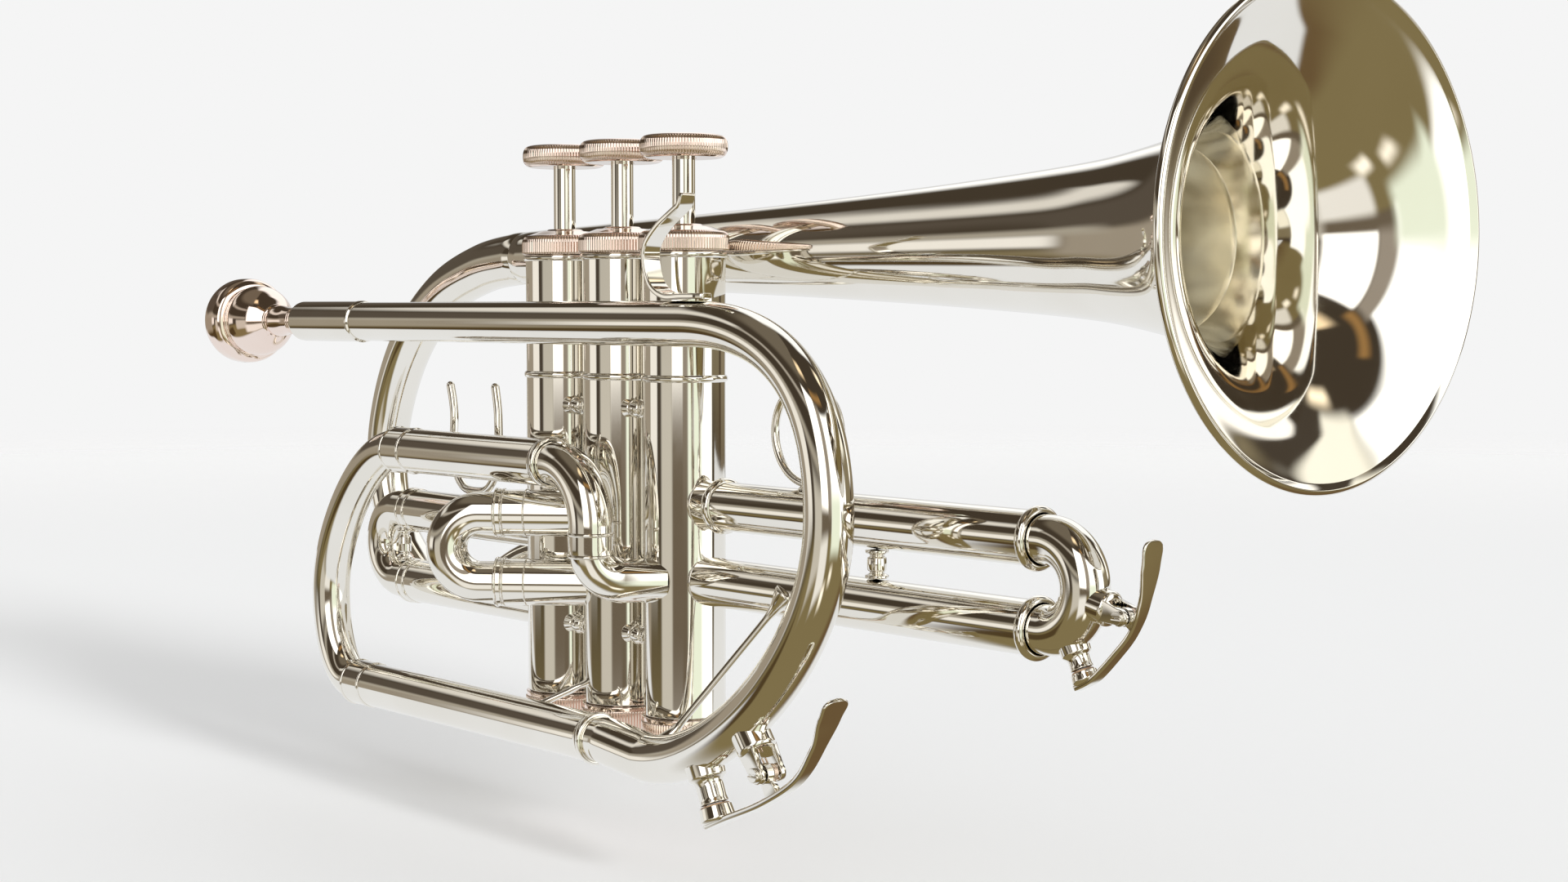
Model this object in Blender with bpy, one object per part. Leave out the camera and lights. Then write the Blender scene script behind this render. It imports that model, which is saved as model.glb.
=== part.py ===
"""Cornet with three piston valves, four pull slides and two water keys.

Frame: origin at the centre of the middle valve's bottom cap, on its flat
underside.  +X runs towards the bell mouth, +Y towards the player's left hand,
+Z up along the valves.  All lengths are in metres.
"""
import math

import bmesh
import bpy
from mathutils import Vector

MM = 0.001
GAP = 0.3 * MM

# ---------------------------------------------------------------- valves
VALVE_PITCH = 28.4 * MM
VALVE_X = (-VALVE_PITCH, 0.0, VALVE_PITCH)
CASING_R = 11.4 * MM
CASING_BORE_R = 9.1 * MM
CASING_SPIGOT_R = 10.6 * MM
CASING_BEAD_R = 12.0 * MM
CASING_BEAD_Z = 101.3 * MM
CASING_LIP_Z = 135.2 * MM
GUIDE_Z = 83.5 * MM
GUIDE_HALF = 1.5 * MM
CAP_R = 12.55 * MM
CAP_TOP_Z = 143.2 * MM
BOTTOM_CAP_R = 12.2 * MM
BOTTOM_CAP_H = 8.0 * MM
STEM_R = 3.18 * MM
PISTON_R = 8.7 * MM
PISTON_LOW_Z = 22.0 * MM
PISTON_TOP_Z = 80.0 * MM
ROD_R = 2.6 * MM
COLLAR_Z = 136.0 * MM
BUTTON_R = 12.15 * MM
BUTTON_LOW_Z = 161.6 * MM
BUTTON_TOP_Z = 168.0 * MM
VALVE_SIDES = 20
BRACE_Y = -5.2 * MM

# ---------------------------------------------------------------- tubing
TUBE_SIDES = 14
SLEEVE_R = 6.65 * MM
SLEEVE_BORE_R = 6.2 * MM
LEG_R = 5.9 * MM
LEG_BORE_R = 5.2 * MM
FLANGE_R = 7.2 * MM

LEAD_Y = -24.7 * MM
LEAD_Z = 116.5 * MM
LEAD_START_X = -125.0 * MM
LEAD_BEND_X = 64.0 * MM
RECEIVER_X = -140.5 * MM
RECEIVER_END_X = -102.0 * MM
BOW_X = 116.7 * MM
BOW_Z = 70.0 * MM
BOW_FOOT_X = 44.0 * MM
BOW_FOOT_Z = 1.1 * MM
BOW_HIGH_HOLD = (0.66, 0.66)
BOW_LOW_HOLD = (0.5, 0.4)
BOW_R = 6.45 * MM
BOW_FERRULE_X = 16.0 * MM
LOW_SLIDE_Z = 3.0 * MM
LOW_SLIDE_X = -107.6 * MM
HIGH_SLIDE_Z = 77.5 * MM
HIGH_SLIDE_X = -82.6 * MM
HIGH_FERRULE_X = 0.4 * MM
CROOK_X = -124.4 * MM
CROOK_Z = 30.0 * MM

ELBOW_X = 18.5 * MM
ELBOW_Z = 46.0 * MM
ELBOW_DIR = Vector((0.53, 0.848, 0.0))
ELBOW_R = 6.1 * MM

# ---------------------------------------------------------------- valve slides
FIRST_Z = (55.5 * MM, 32.5 * MM)
FIRST_END_X = -115.0 * MM
FIRST_BEND_X = -121.0 * MM
SECOND_Z = (62.0 * MM, 42.0 * MM)
SECOND_REACH = 37.0 * MM
SECOND_BEND = 41.4 * MM
SECOND_DIR = Vector((-math.sqrt(0.5), -math.sqrt(0.5), 0.0))
THIRD_Z = (67.0 * MM, 46.0 * MM)
THIRD_END_X = 163.8 * MM
THIRD_BEND_X = 166.5 * MM
PORT_END = 9.6 * MM
TRANSFER_R = 4.6 * MM
TRANSFER_Z = (52.0 * MM, 46.0 * MM)

# ---------------------------------------------------------------- bell
BELL_Y = 26.5 * MM
BELL_Z = 136.6 * MM
BELL_START_X = -86.0 * MM
BELL_RIM_X = 223.2 * MM
BELL_RIM_R = 57.0 * MM
BELL_WALL = 0.9 * MM
BELL_SIDES = 28
TAIL_PORT_DIR = Vector((-0.5, math.sqrt(0.75), 0.0))
TAIL_PORT_Z = 44.0 * MM

# ---------------------------------------------------------------- water keys
BOW_KEY = (1.05, 1.02)
BOW_NIPPLE_H = 7.7 * MM
BOW_NIPPLE_AT = 0.76
BOW_PIVOT_AT = 0.575
SLIDE_KEY = (0.82, 0.66)
SLIDE_NIPPLE_H = 4.2 * MM
SLIDE_NIPPLE_DEG = -62.0
SLIDE_PIVOT_DEG = -12.0
KEY_PIN_R = 1.0 * MM
KEY_BOSS_R = 2.5 * MM
KEY_BORE_R = 1.4 * MM
KEY_BOSS_SPAN = (-1.9 * MM, 0.1 * MM)
KEY_EAR_IN = 2.3 * MM
KEY_EAR_OUT = 4.0 * MM
KEY_PIVOT_H = 8.4 * MM
NIPPLE_R = 3.9 * MM
CORK_H = 2.2 * MM
CUP_R = 4.7 * MM
CUP_H = 4.6 * MM


def clear_file():
    for obj in list(bpy.data.objects):
        bpy.data.objects.remove(obj, do_unlink=True)


def material(name, colour, metallic, roughness):
    mat = bpy.data.materials.new(name)
    mat.use_nodes = True
    shader = mat.node_tree.nodes["Principled BSDF"]
    shader.inputs["Base Color"].default_value = (*colour, 1.0)
    shader.inputs["Metallic"].default_value = metallic
    shader.inputs["Roughness"].default_value = roughness
    mat.diffuse_color = (*colour, 1.0)
    return mat


def finish_mesh(name, bm, mat):
    bmesh.ops.recalc_face_normals(bm, faces=bm.faces)
    mesh = bpy.data.meshes.new(name)
    bm.to_mesh(mesh)
    bm.free()
    own = mat.copy()
    own.name = name + "_finish"
    mesh.materials.append(own)
    obj = bpy.data.objects.new(name, mesh)
    bpy.context.scene.collection.objects.link(obj)
    return obj


def ring_points(centre, u, v, radius, sides):
    points = []
    for i in range(sides):
        a = 2.0 * math.pi * (i + 0.5) / sides
        points.append(centre + u * (radius * math.cos(a)) + v * (radius * math.sin(a)))
    return points


def bridge(bm, low, high):
    count = len(low)
    for i in range(count):
        j = (i + 1) % count
        bm.faces.new((low[i], low[j], high[j], high[i]))


def axis_frame(axis):
    axis = axis.normalized()
    side = Vector((0.0, 1.0, 0.0))
    if abs(axis.dot(side)) > 0.95:
        side = Vector((0.0, 0.0, 1.0))
    u = (side - axis * side.dot(axis)).normalized()
    return u, axis.cross(u)


def lathe(name, profile, mat, base=(0, 0, 0), axis=(0, 0, 1), sides=VALVE_SIDES):
    """Turns a closed (radius, height) outline about an axis."""
    base = Vector(base)
    axis = Vector(axis).normalized()
    u, v = axis_frame(axis)
    bm = bmesh.new()
    rings = []
    for radius, height in profile:
        centre = base + axis * height
        if radius < 1e-9:
            rings.append([bm.verts.new(centre)])
        else:
            rings.append([bm.verts.new(p) for p in ring_points(centre, u, v, radius, sides)])
    for k in range(len(rings)):
        low = rings[k]
        high = rings[(k + 1) % len(rings)]
        if len(low) > 1 and len(high) > 1:
            bridge(bm, low, high)
        elif len(low) > 1 or len(high) > 1:
            tip = low[0] if len(low) == 1 else high[0]
            rim = high if len(low) == 1 else low
            for i in range(sides):
                bm.faces.new((tip, rim[i], rim[(i + 1) % sides]))
    return finish_mesh(name, bm, mat)


def path_frames(path, side):
    """A tangent and two cross directions at each point, carried without twist."""
    frames = []
    u = None
    for i, point in enumerate(path):
        back = path[max(i - 1, 0)]
        ahead = path[min(i + 1, len(path) - 1)]
        tangent = (ahead - back).normalized()
        if u is None:
            u = Vector(side)
        u = (u - tangent * u.dot(tangent)).normalized()
        frames.append((point, u, tangent.cross(u)))
    return frames


def swept_tube(name, path, outer, inner, mat, side=(0, 1, 0), sides=TUBE_SIDES):
    """A tube along a path; outer and inner are radii, or functions of 0..1."""
    bm = bmesh.new()
    skins = []
    frames = path_frames(path, side)
    for radius in (outer, inner):
        rings = []
        for i, (point, u, v) in enumerate(frames):
            r = radius(i / (len(frames) - 1)) if callable(radius) else radius
            rings.append([bm.verts.new(p) for p in ring_points(point, u, v, r, sides)])
        for k in range(len(rings) - 1):
            bridge(bm, rings[k], rings[k + 1])
        skins.append(rings)
    bridge(bm, skins[0][0], skins[1][0])
    bridge(bm, skins[0][-1], skins[1][-1])
    return finish_mesh(name, bm, mat)


def swept_rod(name, path, radius, mat, side=(0, 1, 0), sides=8, closed=False):
    bm = bmesh.new()
    rings = []
    for i, (point, u, v) in enumerate(path_frames(path, side)):
        r = radius(i / (len(path) - 1)) if callable(radius) else radius
        rings.append([bm.verts.new(p) for p in ring_points(point, u, v, r, sides)])
    for k in range(len(rings) - 1):
        bridge(bm, rings[k], rings[k + 1])
    if closed:
        bridge(bm, rings[-1], rings[0])
    else:
        bm.faces.new(rings[0])
        bm.faces.new(rings[-1])
    return finish_mesh(name, bm, mat)


def swept_strip(name, path, widths, thickness, mat):
    """A flat strip in the XZ plane; widths are across Y, one for each point."""
    bm = bmesh.new()
    rings = []
    for i, point in enumerate(path):
        back = path[max(i - 1, 0)]
        ahead = path[min(i + 1, len(path) - 1)]
        tangent = (ahead - back).normalized()
        normal = tangent.cross(Vector((0, 1, 0))) * (thickness / 2)
        half = Vector((0, widths[i] / 2, 0))
        corners = (point - half - normal, point + half - normal)
        corners += (point + half + normal, point - half + normal)
        rings.append([bm.verts.new(c) for c in corners])
    for k in range(len(rings) - 1):
        bridge(bm, rings[k], rings[k + 1])
    bm.faces.new(rings[0])
    bm.faces.new(rings[-1])
    return finish_mesh(name, bm, mat)


def cylinder(name, base, axis, radius, length, mat, sides=TUBE_SIDES):
    profile = [(0, 0), (radius, 0), (radius, length), (0, length)]
    return lathe(name, profile, mat, base, axis, sides)


def boolean(target, tools, operation):
    """Joins or cuts the tools into the target and removes the tools."""
    for tool in tools:
        modifier = target.modifiers.new(operation.lower(), "BOOLEAN")
        modifier.operation = operation
        modifier.solver = "EXACT"
        modifier.object = tool
    bpy.context.view_layer.update()
    graph = bpy.context.evaluated_depsgraph_get()
    mesh = bpy.data.meshes.new_from_object(target.evaluated_get(graph))
    target.modifiers.clear()
    own = target.data.materials[0]
    mesh.materials.clear()
    mesh.materials.append(own)
    for polygon in mesh.polygons:
        polygon.material_index = 0
    target.data = mesh
    for tool in tools:
        bpy.data.objects.remove(tool, do_unlink=True)
    bm = bmesh.new()
    bm.from_mesh(mesh)
    bmesh.ops.remove_doubles(bm, verts=bm.verts, dist=1e-6)
    bmesh.ops.dissolve_degenerate(bm, edges=bm.edges, dist=1e-6)
    bmesh.ops.triangulate(bm, faces=[f for f in bm.faces if len(f.verts) > 4])
    bmesh.ops.recalc_face_normals(bm, faces=bm.faces)
    bm.to_mesh(mesh)
    bm.free()
    return target


def bezier(p0, p1, p2, p3, steps, first=0):
    points = []
    for i in range(first, steps + 1):
        t = i / steps
        s = 1.0 - t
        points.append(p0 * s ** 3 + p1 * (3 * s * s * t) + p2 * (3 * s * t * t) + p3 * t ** 3)
    return points


def quarter(start, corner, end, hold, steps, first=1):
    """A rounded corner from start to end, drawn towards their corner point."""
    return bezier(start, start + (corner - start) * hold[0], end + (corner - end) * hold[1], end,
                  steps, first)


def smooth_path(knots, steps):
    """A curve through the knots, with the same number of steps in each span."""
    points = [knots[0]]
    for k in range(len(knots) - 1):
        before = knots[max(k - 1, 0)]
        after = knots[min(k + 2, len(knots) - 1)]
        p0 = knots[k]
        p3 = knots[k + 1]
        p1 = p0 + (p3 - before) / 6.0
        p2 = p3 - (after - p0) / 6.0
        points += bezier(p0, p1, p2, p3, steps, 1)
    return points


def xz(x, z, y=LEAD_Y):
    return Vector((x, y, z))


# ================================================================ valves
def casing_profile():
    bead = CASING_BEAD_R
    lip = CASING_BEAD_R + 0.1 * MM
    bore = CASING_BORE_R
    ledge = ROD_R + 1.0 * MM
    outside = [
        (CASING_SPIGOT_R, 2.6 * MM),
        (CASING_SPIGOT_R, BOTTOM_CAP_H + GAP),
        (CASING_R, BOTTOM_CAP_H + GAP),
        (CASING_R, CASING_BEAD_Z - 0.9 * MM),
        (bead, CASING_BEAD_Z - 0.4 * MM),
        (bead, CASING_BEAD_Z + 0.4 * MM),
        (CASING_R, CASING_BEAD_Z + 0.9 * MM),
        (CASING_R + 0.1 * MM, CASING_LIP_Z - 1.2 * MM),
        (lip, CASING_LIP_Z - 0.5 * MM),
        (lip, CASING_LIP_Z + 0.7 * MM),
        (CASING_SPIGOT_R, CASING_LIP_Z + 0.7 * MM),
        (CASING_SPIGOT_R, CAP_TOP_Z - 2.3 * MM),
    ]
    inside = [
        (bore, CAP_TOP_Z - 2.3 * MM),
        (bore, GUIDE_Z + GUIDE_HALF),
        (ledge, GUIDE_Z + GUIDE_HALF),
        (ledge, GUIDE_Z - GUIDE_HALF),
        (bore, GUIDE_Z - GUIDE_HALF),
        (bore, 2.6 * MM),
    ]
    return outside + inside


def casing_port(x, direction, height, radius, mat):
    start = Vector((x, 0, height)) + direction * (4.0 * MM)
    return cylinder("cutter", start, direction, radius, 14.0 * MM, mat)


def build_casings(mat):
    legs = SLEEVE_R + GAP
    pipe = TRANSFER_R + GAP
    east = Vector((1, 0, 0))
    ports = (
        [(-east, FIRST_Z[0], legs), (-east, FIRST_Z[1], legs),
         (TAIL_PORT_DIR, TAIL_PORT_Z, 6.5 * MM), (east, TRANSFER_Z[0], pipe)],
        [(SECOND_DIR, SECOND_Z[0], legs), (SECOND_DIR, SECOND_Z[1], legs),
         (-east, TRANSFER_Z[0], pipe), (east, TRANSFER_Z[1], pipe)],
        [(east, THIRD_Z[0], legs), (east, THIRD_Z[1], legs),
         (-east, TRANSFER_Z[1], pipe), (-ELBOW_DIR, ELBOW_Z, 4.4 * MM)],
    )
    for number, x in enumerate(VALVE_X):
        casing = lathe(f"casing_{number + 1}", casing_profile(), mat, (x, 0, 0))
        cutters = [casing_port(x, d, z, r, mat) for d, z, r in ports[number]]
        boolean(casing, cutters, "DIFFERENCE")


def build_caps(mat):
    hole = STEM_R + GAP
    inner = CASING_SPIGOT_R + GAP
    low = CASING_LIP_Z + 1.0 * MM
    top = [
        (inner, low), (CAP_R - 0.6 * MM, low), (CAP_R, low + 0.6 * MM),
        (CAP_R, CAP_TOP_Z - 2.4 * MM), (CAP_R - 1.0 * MM, CAP_TOP_Z - 0.5 * MM),
        (5.4 * MM, CAP_TOP_Z), (4.9 * MM, CAP_TOP_Z + 0.4 * MM), (hole, CAP_TOP_Z + 0.4 * MM),
        (hole, CAP_TOP_Z - 2.0 * MM), (inner, CAP_TOP_Z - 2.0 * MM),
    ]
    bottom = [
        (0, 0), (BOTTOM_CAP_R - 1.6 * MM, 0), (BOTTOM_CAP_R, 1.4 * MM),
        (BOTTOM_CAP_R, BOTTOM_CAP_H - 0.6 * MM), (BOTTOM_CAP_R - 0.6 * MM, BOTTOM_CAP_H),
        (inner, BOTTOM_CAP_H), (inner, 2.2 * MM), (0, 2.2 * MM),
    ]
    for number, x in enumerate(VALVE_X):
        lathe(f"top_cap_{number + 1}", top, mat, (x, 0, 0))
        lathe(f"bottom_cap_{number + 1}", bottom, mat, (x, 0, 0))


def build_pistons(mat):
    profile = [
        (0, PISTON_LOW_Z + 14.0 * MM), (5.0 * MM, PISTON_LOW_Z + 14.0 * MM),
        (7.4 * MM, PISTON_LOW_Z), (PISTON_R, PISTON_LOW_Z), (PISTON_R, PISTON_TOP_Z),
        (ROD_R, PISTON_TOP_Z), (ROD_R, COLLAR_Z - 2.0 * MM), (8.2 * MM, COLLAR_Z - 2.0 * MM),
        (8.2 * MM, COLLAR_Z + 2.0 * MM), (STEM_R, COLLAR_Z + 2.0 * MM),
        (STEM_R, BUTTON_LOW_Z + 4.0 * MM), (0, BUTTON_LOW_Z + 4.0 * MM),
    ]
    east = Vector((1, 0, 0))
    ways = ((east, FIRST_Z[0]), (SECOND_DIR, SECOND_Z[0]), (east, THIRD_Z[0]))
    for number, x in enumerate(VALVE_X):
        piston = lathe(f"piston_{number + 1}", profile, mat, (x, 0, 0))
        direction, height = ways[number]
        start = Vector((x, 0, height)) - direction * (12.0 * MM)
        cutter = cylinder("cutter", start, direction, LEG_BORE_R, 24.0 * MM, mat, 12)
        boolean(piston, [cutter], "DIFFERENCE")


def build_buttons(mat):
    hole = STEM_R + GAP
    low = BUTTON_LOW_Z
    top = BUTTON_TOP_Z
    profile = [
        (hole, low), (BUTTON_R - 1.6 * MM, low), (BUTTON_R - 1.6 * MM, low + 0.8 * MM),
        (BUTTON_R, low + 2.0 * MM), (BUTTON_R, top - 2.0 * MM), (BUTTON_R - 1.4 * MM, top - 0.3 * MM),
        (BUTTON_R - 4.0 * MM, top), (0, top - 0.6 * MM), (0, low + 4.4 * MM), (hole, low + 4.4 * MM),
    ]
    for number, x in enumerate(VALVE_X):
        lathe(f"button_{number + 1}", profile, mat, (x, 0, 0))


def build_valve_springs(mat):
    turns = 6
    low = GUIDE_Z + GUIDE_HALF + 1.0 * MM
    high = COLLAR_Z - 3.0 * MM
    for number, x in enumerate(VALVE_X):
        path = []
        steps = turns * 8
        for i in range(steps + 1):
            a = 2.0 * math.pi * i / 8
            z = low + (high - low) * i / steps
            path.append(Vector((x + 5.6 * MM * math.cos(a), 5.6 * MM * math.sin(a), z)))
        swept_rod(f"valve_spring_{number + 1}", path, 0.6 * MM, mat, (0, 0, 1), 4)


def build_casing_braces(mat):
    half = VALVE_PITCH / 2 - 9.0 * MM
    profile = [
        (0, -half), (1.9 * MM, -half), (1.3 * MM, -2.2 * MM), (2.6 * MM, 0),
        (1.3 * MM, 2.2 * MM), (1.9 * MM, half), (0, half),
    ]
    for pair in (0, 1):
        x = (VALVE_X[pair] + VALVE_X[pair + 1]) / 2
        for place, z in (("upper", 92.6 * MM), ("lower", 29.1 * MM)):
            name = f"casing_brace_{place}_{pair + 1}"
            brace = lathe(name, profile, mat, (x, BRACE_Y, z), (1, 0, 0), 10)
            cutters = [casing_space(pair, mat), casing_space(pair + 1, mat)]
            boolean(brace, cutters, "DIFFERENCE")


def casing_space(index, mat):
    """The room a casing needs, for trimming what stands against it."""
    base = (VALVE_X[index], 0, 10.0 * MM)
    return cylinder("cutter", base, (0, 0, 1), CASING_R + GAP, 88.0 * MM, mat, VALVE_SIDES)


def build_transfer_tubes(mat):
    for pair in (0, 1):
        start = VALVE_X[pair] + PORT_END
        length = VALVE_PITCH - 2 * PORT_END
        profile = [
            (TRANSFER_R, 0), (TRANSFER_R, length),
            (TRANSFER_R - 0.6 * MM, length), (TRANSFER_R - 0.6 * MM, 0),
        ]
        base = (start, 0, TRANSFER_Z[pair])
        lathe(f"transfer_tube_{pair + 1}", profile, mat, base, (1, 0, 0), 12)


# ================================================================ lead pipe and bow
def build_mouthpiece(mat):
    outside = [
        (8.8 * MM, 0.9 * MM), (10.8 * MM, 0.0), (13.2 * MM, 1.0 * MM), (14.1 * MM, 3.6 * MM),
        (13.9 * MM, 7.6 * MM), (13.0 * MM, 9.4 * MM), (13.3 * MM, 12.4 * MM),
        (12.6 * MM, 17.4 * MM), (10.4 * MM, 22.4 * MM), (7.2 * MM, 26.6 * MM), (5.2 * MM, 29.0 * MM),
        (6.7 * MM, 31.4 * MM), (6.7 * MM, 33.2 * MM), (4.9 * MM, 36.0 * MM), (4.6 * MM, 39.6 * MM),
        (5.4 * MM, 41.0 * MM), (5.4 * MM, 42.6 * MM), (4.6 * MM, 43.6 * MM), (4.1 * MM, 68.0 * MM),
    ]
    inside = [
        (3.3 * MM, 68.0 * MM), (1.9 * MM, 26.0 * MM), (2.0 * MM, 20.0 * MM), (4.8 * MM, 15.5 * MM),
        (7.4 * MM, 9.5 * MM), (8.2 * MM, 4.0 * MM),
    ]
    base = (RECEIVER_X - 44.4 * MM, LEAD_Y, LEAD_Z)
    lathe("mouthpiece", outside + inside, mat, base, (1, 0, 0), 18)


def build_receiver(mat):
    length = RECEIVER_END_X - RECEIVER_X
    shank = 4.6 * MM + 0.4 * MM
    socket = 5.65 * MM + GAP
    step = LEAD_START_X - RECEIVER_X - GAP
    profile = [
        (shank, 0), (6.0 * MM, 0), (6.3 * MM, 0.5 * MM), (6.3 * MM, length - 3.0 * MM),
        (6.5 * MM, length - 2.4 * MM), (6.5 * MM, length - 0.6 * MM), (6.2 * MM, length),
        (socket, length), (socket, step), (shank, step),
    ]
    lathe("mouthpiece_receiver", profile, mat, (RECEIVER_X, LEAD_Y, LEAD_Z), (1, 0, 0), TUBE_SIDES)


def bow_path():
    start = xz(LEAD_BEND_X, LEAD_Z)
    side = xz(BOW_X, BOW_Z)
    foot = xz(BOW_FOOT_X, BOW_FOOT_Z)
    path = [xz(LEAD_START_X, LEAD_Z), xz(-40.0 * MM, LEAD_Z), start]
    path += quarter(start, xz(BOW_X, LEAD_Z), side, BOW_HIGH_HOLD, 7)
    path += quarter(side, xz(BOW_X, BOW_FOOT_Z), foot, BOW_LOW_HOLD, 8)
    path.append(xz(BOW_FERRULE_X + 12.0 * MM, LOW_SLIDE_Z - 0.3 * MM))
    path.append(xz(BOW_FERRULE_X + 9.0 * MM, LOW_SLIDE_Z))
    path.append(xz(BOW_FERRULE_X + 1.0 * MM, LOW_SLIDE_Z))
    return path


def build_leadpipe(mat):
    path = bow_path()
    last = len(path) - 1

    def outer(t):
        if t * last < 0.5:
            return 5.65 * MM
        if t * last > last - 0.5:
            return 6.15 * MM
        swell = min(max((t * last - 2) / 8.0, 0.0), 1.0)
        return 5.95 * MM + (BOW_R - 5.95 * MM) * swell

    def inner(t):
        return outer(t) - 0.7 * MM

    swept_tube("leadpipe_bow", path, outer, inner, mat)


# ================================================================ main tuning slide
def slide_sleeve(name, base, axis, length, mat, near=None, far=FLANGE_R,
                 bore_near=SLEEVE_BORE_R, band=4.0 * MM):
    """An outer slide tube.  far is its open end's band, near an optional ferrule."""
    profile = [(bore_near, 0)]
    if near:
        profile += [(near, 0), (near, 1.0 * MM), (SLEEVE_R, 1.5 * MM)]
    else:
        profile += [(SLEEVE_R, 0)]
    profile += [(SLEEVE_R, length - band - 0.5 * MM), (far, length - band), (far, length)]
    profile += [(SLEEVE_BORE_R, length)]
    if bore_near > SLEEVE_BORE_R:
        profile += [(SLEEVE_BORE_R, 7.0 * MM), (bore_near, 7.0 * MM)]
    return lathe(name, profile, mat, base, axis, TUBE_SIDES)


def build_main_sleeves(mat):
    ferrule = 7.2 * MM
    pipe = 6.15 * MM + GAP
    lap = 6.0 * MM
    length = BOW_FERRULE_X + lap - LOW_SLIDE_X
    base = (BOW_FERRULE_X + lap, LEAD_Y, LOW_SLIDE_Z)
    slide_sleeve("lower_slide_sleeve", base, (-1, 0, 0), length, mat, ferrule, 7.0 * MM, pipe,
                 10.0 * MM)
    length = HIGH_FERRULE_X - HIGH_SLIDE_X
    base = (HIGH_FERRULE_X, LEAD_Y, HIGH_SLIDE_Z)
    slide_sleeve("upper_slide_sleeve", base, (-1, 0, 0), length, mat, ferrule, 7.0 * MM, pipe,
                 10.0 * MM)


def build_main_crook(mat):
    top = xz(HIGH_SLIDE_X - 1.0 * MM, HIGH_SLIDE_Z)
    mid = xz(CROOK_X, CROOK_Z)
    foot = xz(LOW_SLIDE_X - 1.0 * MM, LOW_SLIDE_Z)
    path = [xz(HIGH_SLIDE_X + 48.0 * MM, HIGH_SLIDE_Z), top]
    path += quarter(top, xz(CROOK_X, HIGH_SLIDE_Z), mid, (0.42, 0.42), 7)
    path += quarter(mid, xz(CROOK_X, LOW_SLIDE_Z), foot, (0.58, 0.58), 6)
    path.append(xz(LOW_SLIDE_X + 70.0 * MM, LOW_SLIDE_Z))
    swept_tube("main_slide_crook", path, LEG_R, LEG_BORE_R, mat)


def build_elbow(mat):
    drop = xz(ELBOW_X, HIGH_SLIDE_Z - 17.0 * MM)
    start = xz(HIGH_FERRULE_X - 5.0 * MM, HIGH_SLIDE_Z)
    turn = xz(ELBOW_X - 16.0 * MM, HIGH_SLIDE_Z)
    low = xz(ELBOW_X, ELBOW_Z + 9.0 * MM)
    away = xz(ELBOW_X, ELBOW_Z) + ELBOW_DIR * (9.0 * MM)
    path = [start, turn]
    path += quarter(turn, xz(ELBOW_X, HIGH_SLIDE_Z), drop, (0.55, 0.55), 6)
    path.append(low)
    path += quarter(low, xz(ELBOW_X, ELBOW_Z), away, (0.55, 0.55), 5)
    path.append(xz(ELBOW_X, ELBOW_Z) + ELBOW_DIR * (22.0 * MM))
    elbow = swept_tube("valve_elbow", path, ELBOW_R, ELBOW_R - 0.7 * MM, mat)
    seat = cylinder("cutter", (VALVE_X[2], 0, 20 * MM), (0, 0, 1), CASING_R + GAP, 60 * MM, mat,
                    VALVE_SIDES)
    boolean(elbow, [seat], "DIFFERENCE")


# ================================================================ valve slides
def u_crook(name, origin, direction, bend_at, heights, leg, mat):
    """A U-shaped inner slide: two legs and a half-turn crook beyond bend_at."""
    origin = Vector(origin)
    radius = (heights[0] - heights[1]) / 2
    middle = (heights[0] + heights[1]) / 2
    up = Vector((0, 0, 1))
    path = [origin + direction * (bend_at - leg) + up * heights[0]]
    for i in range(9):
        a = math.pi / 2 - math.pi * i / 8
        reach = bend_at + radius * math.cos(a)
        path.append(origin + direction * reach + up * (middle + radius * math.sin(a)))
    path.append(origin + direction * (bend_at - leg) + up * heights[1])
    side = direction.cross(up)
    return swept_tube(name, path, LEG_R, LEG_BORE_R, mat, side)


def build_first_slide(mat):
    west = Vector((-1, 0, 0))
    length = VALVE_X[0] - PORT_END - FIRST_END_X
    for place, z in zip(("upper", "lower"), FIRST_Z):
        base = (VALVE_X[0] - PORT_END, 0, z)
        slide_sleeve(f"first_slide_{place}_sleeve", base, west, length, mat, None, 7.1 * MM)
    origin = (VALVE_X[0], 0, 0)
    bend = VALVE_X[0] - FIRST_BEND_X
    heights = FIRST_Z
    u_crook("first_slide_crook", origin, west, bend, heights, 40.0 * MM, mat)


def build_second_slide(mat):
    for place, z in zip(("upper", "lower"), SECOND_Z):
        base = SECOND_DIR * PORT_END + Vector((0, 0, z))
        slide_sleeve(f"second_slide_{place}_sleeve", base, SECOND_DIR, SECOND_REACH - PORT_END,
                     mat, None, 7.1 * MM)
    u_crook("second_slide_crook", (0, 0, 0), SECOND_DIR, SECOND_BEND, SECOND_Z,
            22.0 * MM, mat)


def build_third_slide(mat):
    east = Vector((1, 0, 0))
    length = THIRD_END_X - VALVE_X[2] - PORT_END
    for place, z in zip(("upper", "lower"), THIRD_Z):
        base = (VALVE_X[2] + PORT_END, 0, z)
        slide_sleeve(f"third_slide_{place}_sleeve", base, east, length, mat, band=5.0 * MM)
    origin = (VALVE_X[2], 0, 0)
    bend = THIRD_BEND_X - VALVE_X[2]
    u_crook("third_slide_crook", origin, east, bend, THIRD_Z, 60.0 * MM, mat)


def turned_post(name, x, low, high, radius, mat):
    """A short baluster between two slide tubes."""
    span = high - low
    profile = [
        (0, 0), (radius * 1.1, 0), (radius * 1.1, span * 0.14), (radius * 0.7, span * 0.2),
        (radius, span * 0.4), (radius, span * 0.66), (radius * 0.7, span * 0.84),
        (radius * 1.1, span * 0.88), (radius * 1.1, span), (0, span),
    ]
    return lathe(name, profile, mat, (x, 0, low), (0, 0, 1), 10)


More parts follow.
